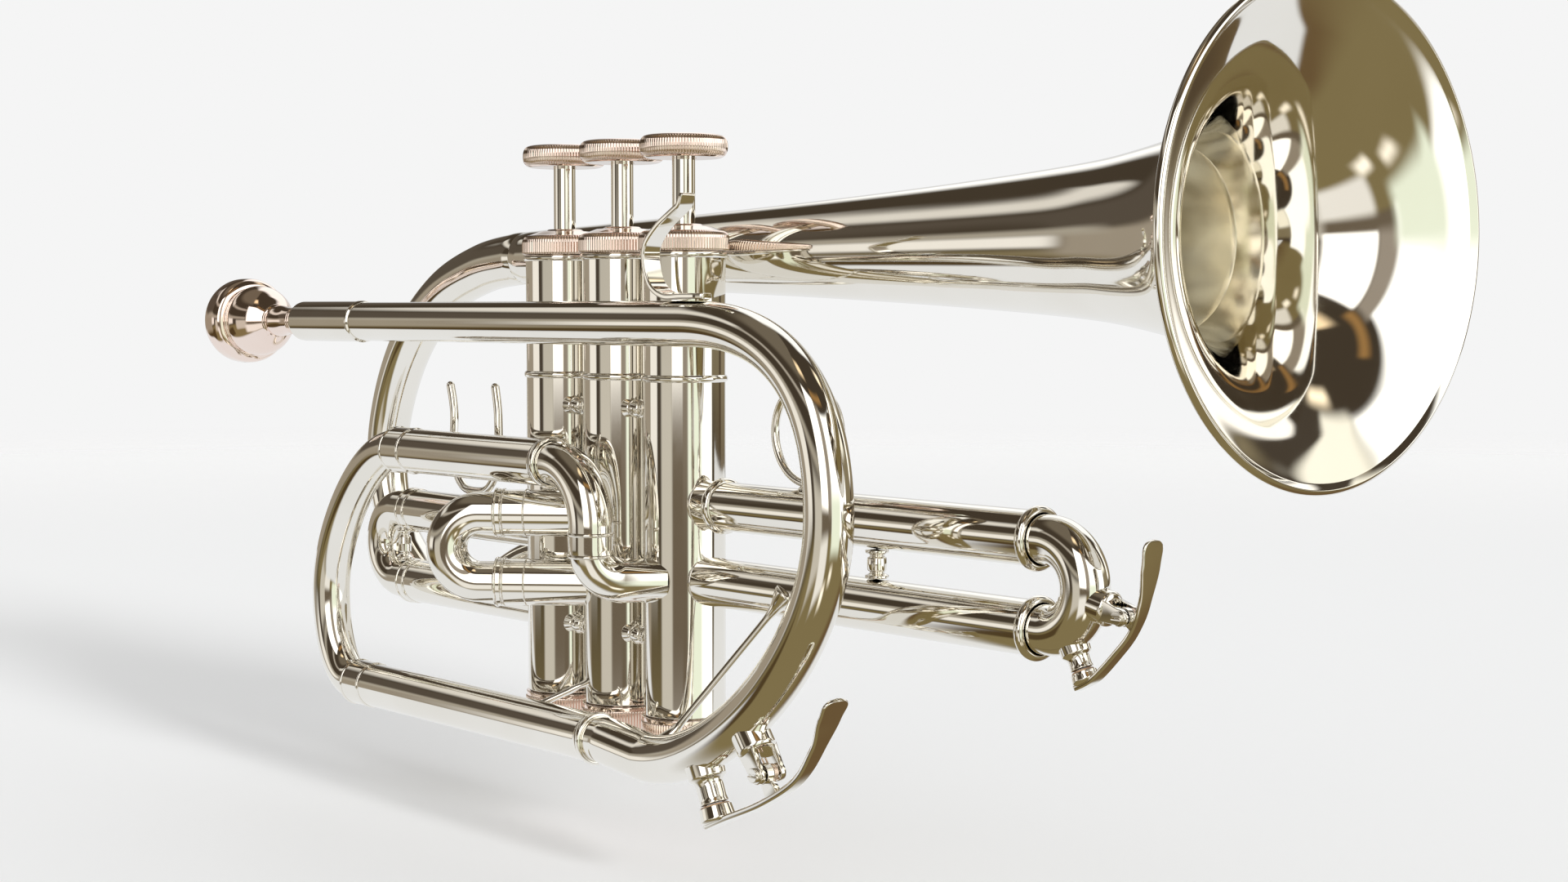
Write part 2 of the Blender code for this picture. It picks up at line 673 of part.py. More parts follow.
def build_slide_fittings(mat):
    low = THIRD_Z[1] + SLEEVE_R + GAP
    high = THIRD_Z[0] - SLEEVE_R - GAP
    turned_post("third_slide_post", 107.0 * MM, low, high, 2.4 * MM, mat)
    reach = LEG_R + GAP
    turned_post("first_slide_post", -120.0 * MM, FIRST_Z[1] + reach, FIRST_Z[0] - reach,
                2.0 * MM, mat)
    build_finger_ring(mat)
    build_saddle(mat)


def build_finger_ring(mat):
    wire = 1.1 * MM
    outer = 14.1 * MM
    centre_z = THIRD_Z[0] + SLEEVE_R + GAP + outer
    bm = bmesh.new()
    steps = 20
    rings = []
    for i in range(steps):
        a = 2.0 * math.pi * i / steps
        out = Vector((math.cos(a), 0, math.sin(a)))
        centre = Vector((80.4 * MM, 0, centre_z)) + out * (outer - wire)
        points = ring_points(centre, out, Vector((0, 1, 0)), wire, 6)
        rings.append([bm.verts.new(p) for p in points])
    for k in range(steps):
        bridge(bm, rings[k], rings[(k + 1) % steps])
    finish_mesh("finger_ring", bm, mat)


def build_saddle(mat):
    """The wire thumb saddle standing on the first slide's upper tube."""
    seat = FIRST_Z[0] + SLEEVE_R + GAP + 1.3 * MM
    left = -90.0 * MM
    right = -65.0 * MM
    tip = 96.4 * MM
    knots = [
        Vector((left - 1.5 * MM, 0, tip)), Vector((left + 0.5 * MM, 0, tip - 9 * MM)),
        Vector((left, 0, seat + 9.0 * MM)), Vector((left + 5.0 * MM, 0, seat + 1.5 * MM)),
        Vector(((left + right) / 2, 0, seat)), Vector((right - 5.0 * MM, 0, seat + 1.5 * MM)),
        Vector((right, 0, seat + 9.0 * MM)), Vector((right + 0.5 * MM, 0, tip - 9 * MM)),
        Vector((right - 1.0 * MM, 0, tip)),
    ]
    swept_rod("first_slide_saddle", smooth_path(knots, 2), 1.3 * MM, mat, (0, 1, 0), 8)


def build_hook(mat):
    """The strip hook on the lead pipe, open towards the bell."""
    seat = LEAD_Z + 6.0 * MM + GAP + 0.8 * MM
    knots = [
        xz(70.0 * MM, seat), xz(56.0 * MM, seat), xz(48.6 * MM, seat + 4.2 * MM),
        xz(46.0 * MM, seat + 11.4 * MM), xz(50.6 * MM, seat + 17.8 * MM),
        xz(57.0 * MM, seat + 21.6 * MM), xz(62.0 * MM, seat + 25.4 * MM),
    ]
    path = smooth_path(knots, 3)
    widths = [5.6 * MM] * len(path)
    swept_strip("little_finger_hook", path, widths, 1.4 * MM, mat)


def brace_rod(name, start, end, feet, mat):
    """A thin rod whose ends swell into small flared feet."""
    axis = end - start
    length = axis.length
    profile = [
        (0, 0), (feet[0], 0), (0.95 * MM, 5.0 * MM), (0.95 * MM, length - 6.0 * MM),
        (feet[1], length), (0, length),
    ]
    return lathe(name, profile, mat, start, axis, 10)


def leg_space(origin, direction, mat):
    """The room a slide tube needs, for trimming what stands against it."""
    return cylinder("cutter", origin, direction, SLEEVE_R + GAP, 0.15, mat)


def build_braces(mat):
    bow = xz(49.0 * MM, 2.4 * MM)
    start = bow + Vector((1.2, 1.4, 3.8)) * MM
    end = Vector((77.2, -5.2, 45.6)) * MM
    rod = brace_rod("bow_brace", start, end, (2.0 * MM, 2.6 * MM), mat)
    pipe = swept_rod("cutter", bow_path()[2:], BOW_R + GAP, mat, (0, 1, 0), TUBE_SIDES)
    leg = leg_space(Vector((VALVE_X[2] + PORT_END, 0, THIRD_Z[1])), Vector((1, 0, 0)), mat)
    boolean(rod, [pipe, leg], "DIFFERENCE")
    start = Vector((-14.2, -22.6, 6.4)) * MM
    end = Vector((-1.2, -9.4, 15.2)) * MM
    rod = brace_rod("slide_brace", start, end, (1.8 * MM, 2.8 * MM), mat)
    leg = leg_space(xz(40.0 * MM, LOW_SLIDE_Z), Vector((-1, 0, 0)), mat)
    boolean(rod, [leg, casing_space(1, mat)], "DIFFERENCE")


# ================================================================ bell
def build_bell(mat):
    length = BELL_RIM_X - BELL_START_X
    knots = [
        Vector((0.0, 8.4 * MM, 0)), Vector((103.0 * MM, 11.7 * MM, 0)),
        Vector((176.0 * MM, 14.8 * MM, 0)), Vector((232.0 * MM, 18.2 * MM, 0)),
        Vector((258.0 * MM, 21.2 * MM, 0)), Vector((280.0 * MM, 26.4 * MM, 0)),
        Vector((295.0 * MM, 34.8 * MM, 0)), Vector((304.0 * MM, 45.2 * MM, 0)),
        Vector((length - 0.8 * MM, BELL_RIM_R - 1.2 * MM, 0)),
    ]
    curve = smooth_path(knots, 2)
    outside = [(p.y, p.x) for p in curve]
    inside = [(p.y - BELL_WALL, p.x + (BELL_WALL if p.x > 270 * MM else 0)) for p in curve]
    bead = [(BELL_RIM_R, length - 1.2 * MM), (BELL_RIM_R + 0.3 * MM, length),
            (BELL_RIM_R - 1.0 * MM, length + 1.0 * MM)]
    profile = outside + bead + inside[::-1]
    base = (BELL_START_X, BELL_Y, BELL_Z)
    lathe("bell", profile, mat, base, (1, 0, 0), BELL_SIDES)


def tail_path():
    start = Vector((BELL_START_X - GAP, BELL_Y, BELL_Z))
    port = Vector((VALVE_X[0], 0, TAIL_PORT_Z)) + TAIL_PORT_DIR * PORT_END
    knots = [
        start + Vector((-4.0 * MM, 0, 0)), xz(-111.5 * MM, 134 * MM, BELL_Y),
        xz(-135.5 * MM, 126 * MM, BELL_Y), xz(-157 * MM, 110 * MM, BELL_Y),
        xz(-171 * MM, 88 * MM, BELL_Y), xz(-175.5 * MM, 65 * MM, BELL_Y),
        xz(-167 * MM, 42 * MM, BELL_Y), xz(-144 * MM, 27 * MM, BELL_Y),
        xz(-112 * MM, 29.5 * MM, BELL_Y),
        xz(-86 * MM, 39.5 * MM, BELL_Y), xz(-58 * MM, 44 * MM, 25.5 * MM),
        port + TAIL_PORT_DIR * (10.0 * MM), port,
    ]
    return [start] + smooth_path(knots, 2)


def build_tail(mat):
    def outer(t):
        return (8.4 - 2.3 * min(1.0, t * 1.6)) * MM

    def inner(t):
        return outer(t) - 0.7 * MM

    swept_tube("bell_tail", tail_path(), outer, inner, mat)


# ================================================================ water keys
def key_saddle(name, seat, out, size, trim, mat):
    """A round foot round the tube's side with two ears and a pin across them."""
    along = out.cross(Vector((0, 1, 0))).normalized()
    barrel = [
        (0, -3.0 * MM), (4.9 * MM * size, -3.0 * MM), (4.9 * MM * size, 2.0 * MM * size),
        (4.4 * MM * size, 2.6 * MM * size), (0, 2.6 * MM * size),
    ]
    saddle = lathe(name, barrel, mat, seat, out, 14)
    boolean(saddle, [trim()], "DIFFERENCE")
    pin_at = seat + out * (KEY_PIVOT_H * size)
    ears = []
    for sign in (-1, 1):
        mid = (KEY_EAR_IN + KEY_EAR_OUT) / 2 * sign * size
        box = bmesh.new()
        bmesh.ops.create_cube(box, size=1.0)
        for vert in box.verts:
            local = vert.co * size
            narrow = 1.0 - 0.25 * (vert.co.z + 0.5)
            spot = seat + out * (6.2 * MM * size + local.z * 8.8 * MM)
            spot += along * (local.x * 5.0 * MM * narrow)
            vert.co = spot + Vector((0, mid + local.y * (KEY_EAR_OUT - KEY_EAR_IN), 0))
        ears.append(finish_mesh("tool", box, mat))
    half = (KEY_EAR_OUT + 0.7 * MM) * size
    pin = cylinder("tool", pin_at - Vector((0, half, 0)), (0, 1, 0), KEY_PIN_R * size, 2 * half,
                   mat, 10)
    boolean(saddle, ears + [pin], "UNION")
    return pin_at


def key_nipple(name, seat, out, height, size, trim, mat):
    """The drain tube that the cork closes."""
    bore = 1.6 * MM * size
    profile = [
        (bore, -3.0 * MM), (5.3 * MM * size, -3.0 * MM), (5.3 * MM * size, 1.6 * MM * size),
        (NIPPLE_R * size, 2.4 * MM * size), (NIPPLE_R * size, height), (bore, height),
    ]
    nipple = lathe(name, profile, mat, seat, out, 14)
    boolean(nipple, [trim()], "DIFFERENCE")


def key_cork(name, seat, out, height, size, mat):
    low = height + GAP
    high = low + CORK_H * size
    wide = NIPPLE_R * size - 0.1 * MM
    lathe(name, [(0, low), (wide, low), (wide, high), (0, high)], mat, seat, out, 12)


def key_cup(seat, out, height, size, mat):
    floor = height + CORK_H * size + 2 * GAP
    lip = height + 0.8 * MM
    end = height + CUP_H * size
    inner = NIPPLE_R * size + GAP
    profile = [
        (inner, lip), (CUP_R * size, lip), (CUP_R * size, end), (0, end), (0, floor),
        (inner, floor),
    ]
    return lathe("tool", profile, mat, seat, out, 12)


def key_lever(name, knots, widths, pin_at, cup, size, mat):
    """The curved touch piece, with the pivot boss and the cork cup joined on."""
    path = smooth_path(knots, 2)
    spread = []
    for i in range(len(path)):
        k = min(i // 2, len(widths) - 2)
        t = (i - 2 * k) / 2
        spread.append(widths[k] * (1 - t) + widths[k + 1] * t)
    lever = swept_strip(name, path, spread, 1.5 * MM * size, mat)
    nearest = min(path, key=lambda p: (p - pin_at).length)
    low = KEY_BOSS_SPAN[0] * size
    span = KEY_BOSS_SPAN[1] * size - low
    boss = cylinder("tool", pin_at + Vector((0, low, 0)), (0, 1, 0), KEY_BOSS_R * size, span,
                    mat, 12)
    web = bmesh.new()
    bmesh.ops.create_cube(web, size=1.0)
    reach = nearest - pin_at
    across = reach.cross(Vector((0, 1, 0))).normalized()
    for vert in web.verts:
        local = vert.co.copy()
        spot = pin_at + reach * (0.5 + local.z * 0.96) + across * (local.x * 3.6 * MM * size)
        vert.co = spot + Vector((0, low + (0.5 + local.y * 0.96) * span, 0))
    boolean(lever, [boss, finish_mesh("tool", web, mat), cup], "UNION")
    hole = cylinder("cutter", pin_at - Vector((0, 0.004, 0)), (0, 1, 0), KEY_BORE_R * size, 0.008,
                    mat, 12)
    boolean(lever, [hole], "DIFFERENCE")
    for vert in lever.data.vertices:
        vert.co -= pin_at
    lever.location = pin_at
    return lever


def key_spring(name, pin_at, out, size, mat):
    """A wire spring coiled on the pin beside the boss, with one leg down to the foot."""
    along = out.cross(Vector((0, 1, 0))).normalized()
    wire = 0.24 * MM * size
    first = KEY_BOSS_SPAN[1] * size + GAP + wire
    last = KEY_EAR_IN * size - GAP - wire
    path = []
    for i in range(13):
        a = 2.0 * math.pi * i / 8 - math.pi / 2
        turn = out * math.cos(a) + along * math.sin(a)
        shift = Vector((0, first + (last - first) * i / 12, 0))
        path.append(pin_at + shift + turn * (1.9 * MM * size))
    path.append(path[-1] - out * (4.6 * MM * size))
    swept_rod(name, path, wire, mat, (0, 1, 0), 4)


def water_key(prefix, foot, pivot, height, sizes, tail, trim, metals):
    """One key; foot and pivot are (seat, outward direction), trim makes the tube's room."""
    silver, cork, wire = metals
    size, small = sizes
    pin_at = key_saddle(prefix + "_saddle", *pivot, size, trim, silver)
    key_nipple(prefix + "_nipple", *foot, height, small, trim, silver)
    key_cork(prefix + "_cork", *foot, height, small, cork)
    cup = key_cup(*foot, height, small, silver)
    seat, out = foot
    tip = seat + out * (height + CUP_H * small)
    along = out.cross(Vector((0, 1, 0)))
    knots = [tip - along * (4.4 * MM * small), tip + along * (3.8 * MM * small)] + tail
    widths = [w * MM * size for w in (3.6, 4.2, 3.6, 3.2, 4.2, 7.0, 5.0)]
    key_lever(prefix + "_lever", knots, widths, pin_at, cup, size, silver)
    key_spring(prefix + "_spring", pin_at, pivot[1], size, wire)


def bow_seat(t):
    """A point on the outer side of the bow's lower sweep, and its outward direction."""
    side = xz(BOW_X, BOW_Z)
    corner = xz(BOW_X, BOW_FOOT_Z)
    foot = xz(BOW_FOOT_X, BOW_FOOT_Z)
    near = [quarter(side, corner, foot, BOW_LOW_HOLD, 200, 0)[round(200 * u)]
            for u in (t - 0.02, t, t + 0.02)]
    along = (near[2] - near[0]).normalized()
    out = along.cross(Vector((0, 1, 0)))
    return near[1] + out * (BOW_R + GAP), out


def crook_seat(degrees):
    """The same on the third slide's crook, at an angle from the bell direction."""
    centre = Vector((THIRD_BEND_X, 0, (THIRD_Z[0] + THIRD_Z[1]) / 2))
    angle = math.radians(degrees)
    out = Vector((math.cos(angle), 0, math.sin(angle)))
    return centre + out * ((THIRD_Z[0] - THIRD_Z[1]) / 2 + LEG_R + GAP), out


def build_water_keys(metals):
    def bow_room():
        path = bow_path()[2:]
        return swept_rod("cutter", path, BOW_R + GAP, metals[0], (0, 1, 0), TUBE_SIDES)

    tail = [
        xz(92.8 * MM, -3.0 * MM), xz(105.4 * MM, 4.6 * MM), xz(112.6 * MM, 13.4 * MM),
        xz(117.0 * MM, 21.2 * MM), xz(120.4 * MM, 26.6 * MM),
    ]
    water_key("bow_key", bow_seat(BOW_NIPPLE_AT), bow_seat(BOW_PIVOT_AT), BOW_NIPPLE_H,
              BOW_KEY, tail, bow_room, metals)

    def crook_room():
        low = Vector((THIRD_BEND_X - 20.0 * MM, 0, THIRD_Z[1]))
        path = [low] + [crook_seat(d)[0] - crook_seat(d)[1] * (LEG_R + GAP)
                        for d in range(-90, 91, 15)]
        return swept_rod("cutter", path, LEG_R + GAP, metals[0], (0, 1, 0), TUBE_SIDES)

    tail = [
        xz(187.0 * MM, 42.8 * MM, 0), xz(191.6 * MM, 48.2 * MM, 0), xz(194.6 * MM, 54.8 * MM, 0),
        xz(196.4 * MM, 63.2 * MM, 0), xz(197.2 * MM, 69.4 * MM, 0),
    ]
    water_key("slide_key", crook_seat(SLIDE_NIPPLE_DEG), crook_seat(SLIDE_PIVOT_DEG),
              SLIDE_NIPPLE_H, SLIDE_KEY, tail, crook_room, metals)


def main():
    clear_file()
    silver = material("silver_plate", (0.88, 0.85, 0.79), 1.0, 0.06)
    rose = material("rose_plate", (0.93, 0.78, 0.70), 1.0, 0.08)
    wire = material("spring_wire", (0.90, 0.74, 0.62), 1.0, 0.2)
    cork = material("cork", (0.55, 0.38, 0.24), 0.0, 0.8)
    build_casings(silver)
    build_caps(rose)
    build_pistons(silver)
    build_buttons(rose)
    build_valve_springs(wire)
    build_casing_braces(silver)
    build_transfer_tubes(silver)
    build_mouthpiece(rose)
    build_receiver(silver)
    build_leadpipe(silver)
    build_main_sleeves(silver)
    build_main_crook(silver)
    build_elbow(silver)
    build_first_slide(silver)
    build_second_slide(silver)
    build_third_slide(silver)
    build_slide_fittings(silver)
    build_hook(silver)
    build_braces(silver)
    build_bell(silver)
    build_tail(silver)
    build_water_keys((silver, cork, wire))


main()
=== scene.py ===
"""A silver-plated cornet: its finished surfaces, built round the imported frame.

Sizes are in millimetres in the CAD's own frame, and become metres as each
point is made: +X towards the bell mouth, +Y the player's left, +Z up.
"""
import math

import bmesh
import bpy
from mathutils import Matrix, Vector

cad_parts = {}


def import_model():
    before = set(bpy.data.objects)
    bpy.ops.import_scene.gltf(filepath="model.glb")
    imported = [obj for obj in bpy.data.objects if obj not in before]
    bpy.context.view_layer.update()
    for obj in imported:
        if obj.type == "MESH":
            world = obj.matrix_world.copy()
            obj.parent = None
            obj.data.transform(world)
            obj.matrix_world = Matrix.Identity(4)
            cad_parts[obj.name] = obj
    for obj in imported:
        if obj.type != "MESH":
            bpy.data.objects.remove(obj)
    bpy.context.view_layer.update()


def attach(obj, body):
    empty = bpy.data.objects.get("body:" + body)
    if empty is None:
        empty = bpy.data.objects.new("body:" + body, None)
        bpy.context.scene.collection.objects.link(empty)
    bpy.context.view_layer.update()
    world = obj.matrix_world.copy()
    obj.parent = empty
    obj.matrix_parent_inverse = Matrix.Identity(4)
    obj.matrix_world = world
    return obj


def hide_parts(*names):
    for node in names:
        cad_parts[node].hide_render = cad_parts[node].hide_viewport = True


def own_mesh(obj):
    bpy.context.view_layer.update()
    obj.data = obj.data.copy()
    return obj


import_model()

MM = 0.001
EAST = Vector((1, 0, 0))
WEST = Vector((-1, 0, 0))
LEFT = Vector((0, 1, 0))
UP = Vector((0, 0, 1))

# ============ sizes
VALVE_PITCH = 28.4
VALVE_X = (-VALVE_PITCH, 0.0, VALVE_PITCH)
CASING_R = 11.4
SPIGOT_R = 10.6
BORE_R = 9.1
BEAD_Z = 101.3
LIP_Z = 135.2
CAP_R = 12.55
CAP_TOP = 143.2
BOTTOM_R = 12.2
BOTTOM_H = 8.0
STEM_R = 3.18
COLLAR_Z = 136.0
GUIDE_TOP = 85.0
BUTTON_R = 12.15
BUTTON_LOW = 161.6
BUTTON_TOP = 168.0
KNURL_RIDGES = 92
KNURL_DEPTH = 0.45
FIT = 0.3                   # the gap kept between surfaces that touch
CASING_FOOT = 2.6           # how high the casing's open end stands in its bottom cap
CAP_SKIRT = 2.3             # how far the top cap's own top stands above the casing
PISTON_R = 8.7
PISTON_LOW = 22.0
PISTON_TOP = 80.0
PISTON_ROD_R = 2.6
COLLAR_R = 8.2
SPRING_R = 5.6
SPRING_WIRE = 0.6
SPRING_TURNS = 6
BRACE_Z = {"upper": 92.6, "lower": 29.1}

SLEEVE_R = 6.65
SLEEVE_BORE_R = 6.2
LEG_R = 5.9
LEAD_R = 5.95
LEAD_END_R = 5.65
LEAD_Y = -24.7
LEAD_Z = 116.5
LEAD_START = -125.0
LEAD_BEND = 64.0
RECEIVER_X = -140.5
RECEIVER_END = -102.0
MOUTHPIECE_REACH = 44.4     # from the mouthpiece's rim to the receiver's open end
BOW_X = 116.7
BOW_Z = 70.0
BOW_FOOT_X = 44.0
BOW_FOOT_Z = 1.1
BOW_HIGH_HOLD = (0.66, 0.66)
BOW_LOW_HOLD = (0.5, 0.4)
BOW_R = 6.45
FERRULE_X = 16.0
LOW_Z = 3.0
LOW_X = -107.6
HIGH_Z = 77.5
HIGH_X = -82.6
HIGH_END_X = 0.4
CROOK_X = -124.4
CROOK_Z = 30.0
ELBOW_X = 18.5
ELBOW_Z = 46.0
ELBOW_DIR = Vector((0.53, 0.848, 0.0))
ELBOW_R = 6.1

FIRST_Z = (55.5, 32.5)
FIRST_END = -115.0
FIRST_BEND = -121.0
SECOND_Z = (62.0, 42.0)
SECOND_REACH = 37.0
SECOND_BEND = 41.4
SECOND_DIR = Vector((-math.sqrt(0.5), -math.sqrt(0.5), 0.0))
THIRD_Z = (67.0, 46.0)
THIRD_END = 163.8
THIRD_BEND = 166.5
PORT = 9.6
TRANSFER_Z = (52.0, 46.0)
TRANSFER_R = 4.6
RING_X = 80.4
RING_R = 14.1
RING_WIRE = 1.1
SADDLE_X = (-90.0, -65.0)
SADDLE_TIP = 96.4
SADDLE_WIRE = 1.3

BELL_Y = 26.5
BELL_Z = 136.6
BELL_START = -86.0
RIM_R = 57.0
BELL_LENGTH = 309.2
THROAT_END = 268.0
BELL_WALL = 0.9
TAIL_DIR = Vector((-0.5, math.sqrt(0.75), 0.0))
TAIL_Z = 44.0
FLOOR_Z = -32.0


# ============ mesh tools
def cross_directions(axis):
    side = LEFT if abs(axis.dot(LEFT)) < 0.95 else UP
    u = (side - axis * side.dot(axis)).normalized()
    return u, axis.cross(u)


def fillet(outline, radius=0.3, steps=4):
    """Rounds the corners of a closed (radius, height) outline; a third value is a corner's own."""
    rounded = []
    count = len(outline)
    for i in range(count):
        here = Vector(outline[i][:2])
        before = Vector(outline[i - 1][:2]) - here
        after = Vector(outline[(i + 1) % count][:2]) - here
        own = outline[i][2] if len(outline[i]) > 2 else radius
        cut = min(own, before.length * 0.45, after.length * 0.45)
        if cut < 0.01 or here.x < 1e-6:
            rounded.append(tuple(here))
            continue
        start = here + before.normalized() * cut
        end = here + after.normalized() * cut
        for k in range(steps + 1):
            t = k / steps
            rounded.append(tuple(start * (1 - t) ** 2 + here * (2 * t * (1 - t)) + end * t ** 2))
    return rounded


def bead(radius, height, half, proud, steps=6):
    """The half-round outline of a ring that stands proud of a turned surface."""
    points = []
    for k in range(steps + 1):
        a = math.pi * k / steps
        points.append((radius + proud * math.sin(a), height - half * math.cos(a), 0))
    return points


def add_ring(bm, points):
    return [bm.verts.new(p * MM) for p in points]


def bridge(bm, low, high):
    count = len(low)
    for i in range(count):
        j = (i + 1) % count
        bm.faces.new((low[i], low[j], high[j], high[i]))


def cap(bm, ring, tip):
    for i in range(len(ring)):
        bm.faces.new((tip, ring[i], ring[(i + 1) % len(ring)]))


def turned(bm, outline, base=(0, 0, 0), axis=UP, sides=96, knurl=None):
    """Turns a closed (radius, height) outline; knurl(radius, height) is its ridges' depth.

    Each ridge of a knurl takes four sides.
    """
    base = Vector(base)
    axis = axis.normalized()
    u, v = cross_directions(axis)
    rings = []
    for radius, height in [point[:2] for point in outline]:
        centre = base + axis * height
        if radius < 1e-6:
            rings.append(add_ring(bm, [centre]))
            continue
        depth = knurl(radius, height) if knurl else 0.0
        points = []
        for i in range(sides):
            a = 2 * math.pi * i / sides
            r = radius - depth * (0.5 - 0.5 * math.cos(math.pi / 2 * i))
            points.append(centre + u * (r * math.cos(a)) + v * (r * math.sin(a)))
        rings.append(add_ring(bm, points))
    for k in range(len(rings)):
        low, high = rings[k], rings[(k + 1) % len(rings)]
        if len(low) > 1 and len(high) > 1:
            bridge(bm, low, high)
        elif len(low) > 1:
            cap(bm, low, high[0])
        elif len(high) > 1:
            cap(bm, high, low[0])


def bezier(p0, p1, p2, p3, steps, first=0):
    points = []
    for i in range(first, steps + 1):
        t = i / steps
        s = 1 - t
        points.append(p0 * s ** 3 + p1 * (3 * s * s * t) + p2 * (3 * s * t * t) + p3 * t ** 3)
    return points


def quarter(start, corner, end, hold, steps, first=1):
    """A rounded corner from start to end, drawn towards their corner point."""
    return bezier(start, start + (corner - start) * hold[0], end + (corner - end) * hold[1], end,
                  steps, first)


def smooth_path(knots, steps):
    """A curve through the knots, with the same number of steps in each span."""
    points = [knots[0]]
    for k in range(len(knots) - 1):
        before = knots[max(k - 1, 0)]
        after = knots[min(k + 2, len(knots) - 1)]
        p1 = knots[k] + (knots[k + 1] - before) / 6
        p2 = knots[k + 1] - (after - knots[k]) / 6
        points += bezier(knots[k], p1, p2, knots[k + 1], steps, 1)
    return points


def path_frames(path, side, closed=False):
    """Each point with its two cross directions, carried along without twist."""
    frames = []
    u = Vector(side)
    last = len(path) - 1
    for i, point in enumerate(path):
        back = path[i - 1] if i or closed else path[0]
        ahead = path[(i + 1) % len(path)] if i < last or closed else path[last]
        tangent = (ahead - back).normalized()
        u = (u - tangent * u.dot(tangent)).normalized()
        frames.append((point, u, tangent.cross(u)))
    return frames


def circle(centre, u, v, radius, sides):
    points = []
    for i in range(sides):
        a = 2 * math.pi * i / sides
        points.append(centre + u * (radius * math.cos(a)) + v * (radius * math.sin(a)))
    return points


def swept_tube(bm, path, radius, wall=0.7, side=LEFT, sides=56):
    """An open-ended tube along a path; radius is a number or a function of 0..1."""
    frames = path_frames(path, side)
    skins = []
    for inward in (0.0, wall):
        rings = []
        for i, (point, u, v) in enumerate(frames):
            r = radius(i / (len(frames) - 1)) if callable(radius) else radius
            rings.append(add_ring(bm, circle(point, u, v, r - inward, sides)))
        for k in range(len(rings) - 1):
            bridge(bm, rings[k], rings[k + 1])
        skins.append(rings)
    bridge(bm, skins[0][0], skins[1][0])
    bridge(bm, skins[0][-1], skins[1][-1])


def swept_wire(bm, path, radius, side=LEFT, sides=16, closed=False):
    """A round wire with domed ends, or a closed loop of it."""
    frames = path_frames(path, side, closed)
    rings = [add_ring(bm, circle(p, u, v, radius, sides)) for p, u, v in frames]
    for k in range(len(rings) - 1):
        bridge(bm, rings[k], rings[k + 1])
    if closed:
        bridge(bm, rings[-1], rings[0])
        return
    for end, near in ((0, 1), (-1, -2)):
        point, u, v = frames[end]
        out = (path[end] - path[near]).normalized()
        ring = rings[end]
        for k in (1, 2):
            a = math.pi * k / 6
            dome = circle(point + out * (radius * math.sin(a)), u, v, radius * math.cos(a), sides)
            dome = add_ring(bm, dome)
            bridge(bm, ring, dome)
            ring = dome
        cap(bm, ring, add_ring(bm, [point + out * radius])[0])


def strip_section(width, thickness, edge, steps=3):
    """A flat bar's rounded cross-section, as (across, through) pairs."""
    corners = ((1, 1), (-1, 1), (-1, -1), (1, -1))
    edge = min(edge, width * 0.49, thickness * 0.49)
    points = []
    for number, (sx, sy) in enumerate(corners):
        for k in range(steps + 1):
            a = math.pi / 2 * (number + k / steps)
            points.append((sx * (width / 2 - edge) + edge * math.cos(a),
                           sy * (thickness / 2 - edge) + edge * math.sin(a)))
    return points


def swept_strip(bm, path, widths, thicknesses, edge=0.45):
    """A rounded flat bar bent in the XZ plane, its width along Y."""
    rings = []
    for i, point in enumerate(path):
        back = path[max(i - 1, 0)]
        ahead = path[min(i + 1, len(path) - 1)]
        normal = (ahead - back).normalized().cross(LEFT)
        section = strip_section(widths[i], thicknesses[i], edge)
        rings.append(add_ring(bm, [point + LEFT * a + normal * b for a, b in section]))
    for k in range(len(rings) - 1):
        bridge(bm, rings[k], rings[k + 1])
    bm.faces.new(rings[0])
    bm.faces.new(rings[-1])


def plate(bm, outline, origin, u, v, thickness, edge=0.25):
    """A flat plate with softened rims; outline is in the u, v plane and counts anticlockwise."""
    n = u.cross(v).normalized()
    middle = Vector((sum(p[0] for p in outline), sum(p[1] for p in outline))) / len(outline)
    rings = []
    for offset, inset in ((-0.5, edge), (-0.5, 0), (0.5, 0), (0.5, edge)):
        points = []
        for p in outline:
            flat = Vector(p)
            flat += (middle - flat).normalized() * inset
            shift = offset * thickness
            if not inset:
                shift -= math.copysign(edge, offset)
            points.append(origin + u * flat.x + v * flat.y + n * shift)
        rings.append(add_ring(bm, points))
    for k in range(len(rings) - 1):
        bridge(bm, rings[k], rings[k + 1])
    bm.faces.new(rings[0])
    bm.faces.new(rings[-1])


def new_object(name, data):
    obj = bpy.data.objects.new(name, data)
    bpy.context.scene.collection.objects.link(obj)
    return obj


def mesh_object(name, bm, material):
    mesh = bpy.data.meshes.new(name)
    bm.to_mesh(mesh)
    bm.free()
    mesh.materials.append(material)
    return new_object(name, mesh)


def piece(name, bm, finish, body, *nodes):
    """Makes the mesh's object, which rides on a body in place of its CAD nodes."""
    bmesh.ops.recalc_face_normals(bm, faces=bm.faces)
    obj = mesh_object(name, bm, FINISHES[finish])
    obj.data.shade_smooth()
    even = obj.modifiers.new("even_normals", "WEIGHTED_NORMAL")
    even.keep_sharp = False
    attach(obj, body)
    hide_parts(*nodes)
    return obj


def turned_piece(node, outline, base, axis, sides, body="horn", finish="silver_plate", knurl=None):
    """One turned part, named after the CAD node that it replaces."""
    bm = bmesh.new()
    turned(bm, outline, base, axis, sides, knurl)
    piece(node + "_fine", bm, finish, body, node)


# ============ finishes
def link(tree, source, output, target, socket):
    tree.links.new(source.outputs[output], target.inputs[socket])


def noise(tree, scale, detail, distortion=0.0):
    coordinates = tree.nodes.new("ShaderNodeTexCoord")
    texture = tree.nodes.new("ShaderNodeTexNoise")
    texture.inputs["Scale"].default_value = scale
    texture.inputs["Detail"].default_value = detail
    texture.inputs["Distortion"].default_value = distortion
    link(tree, coordinates, "Object", texture, "Vector")
    return texture


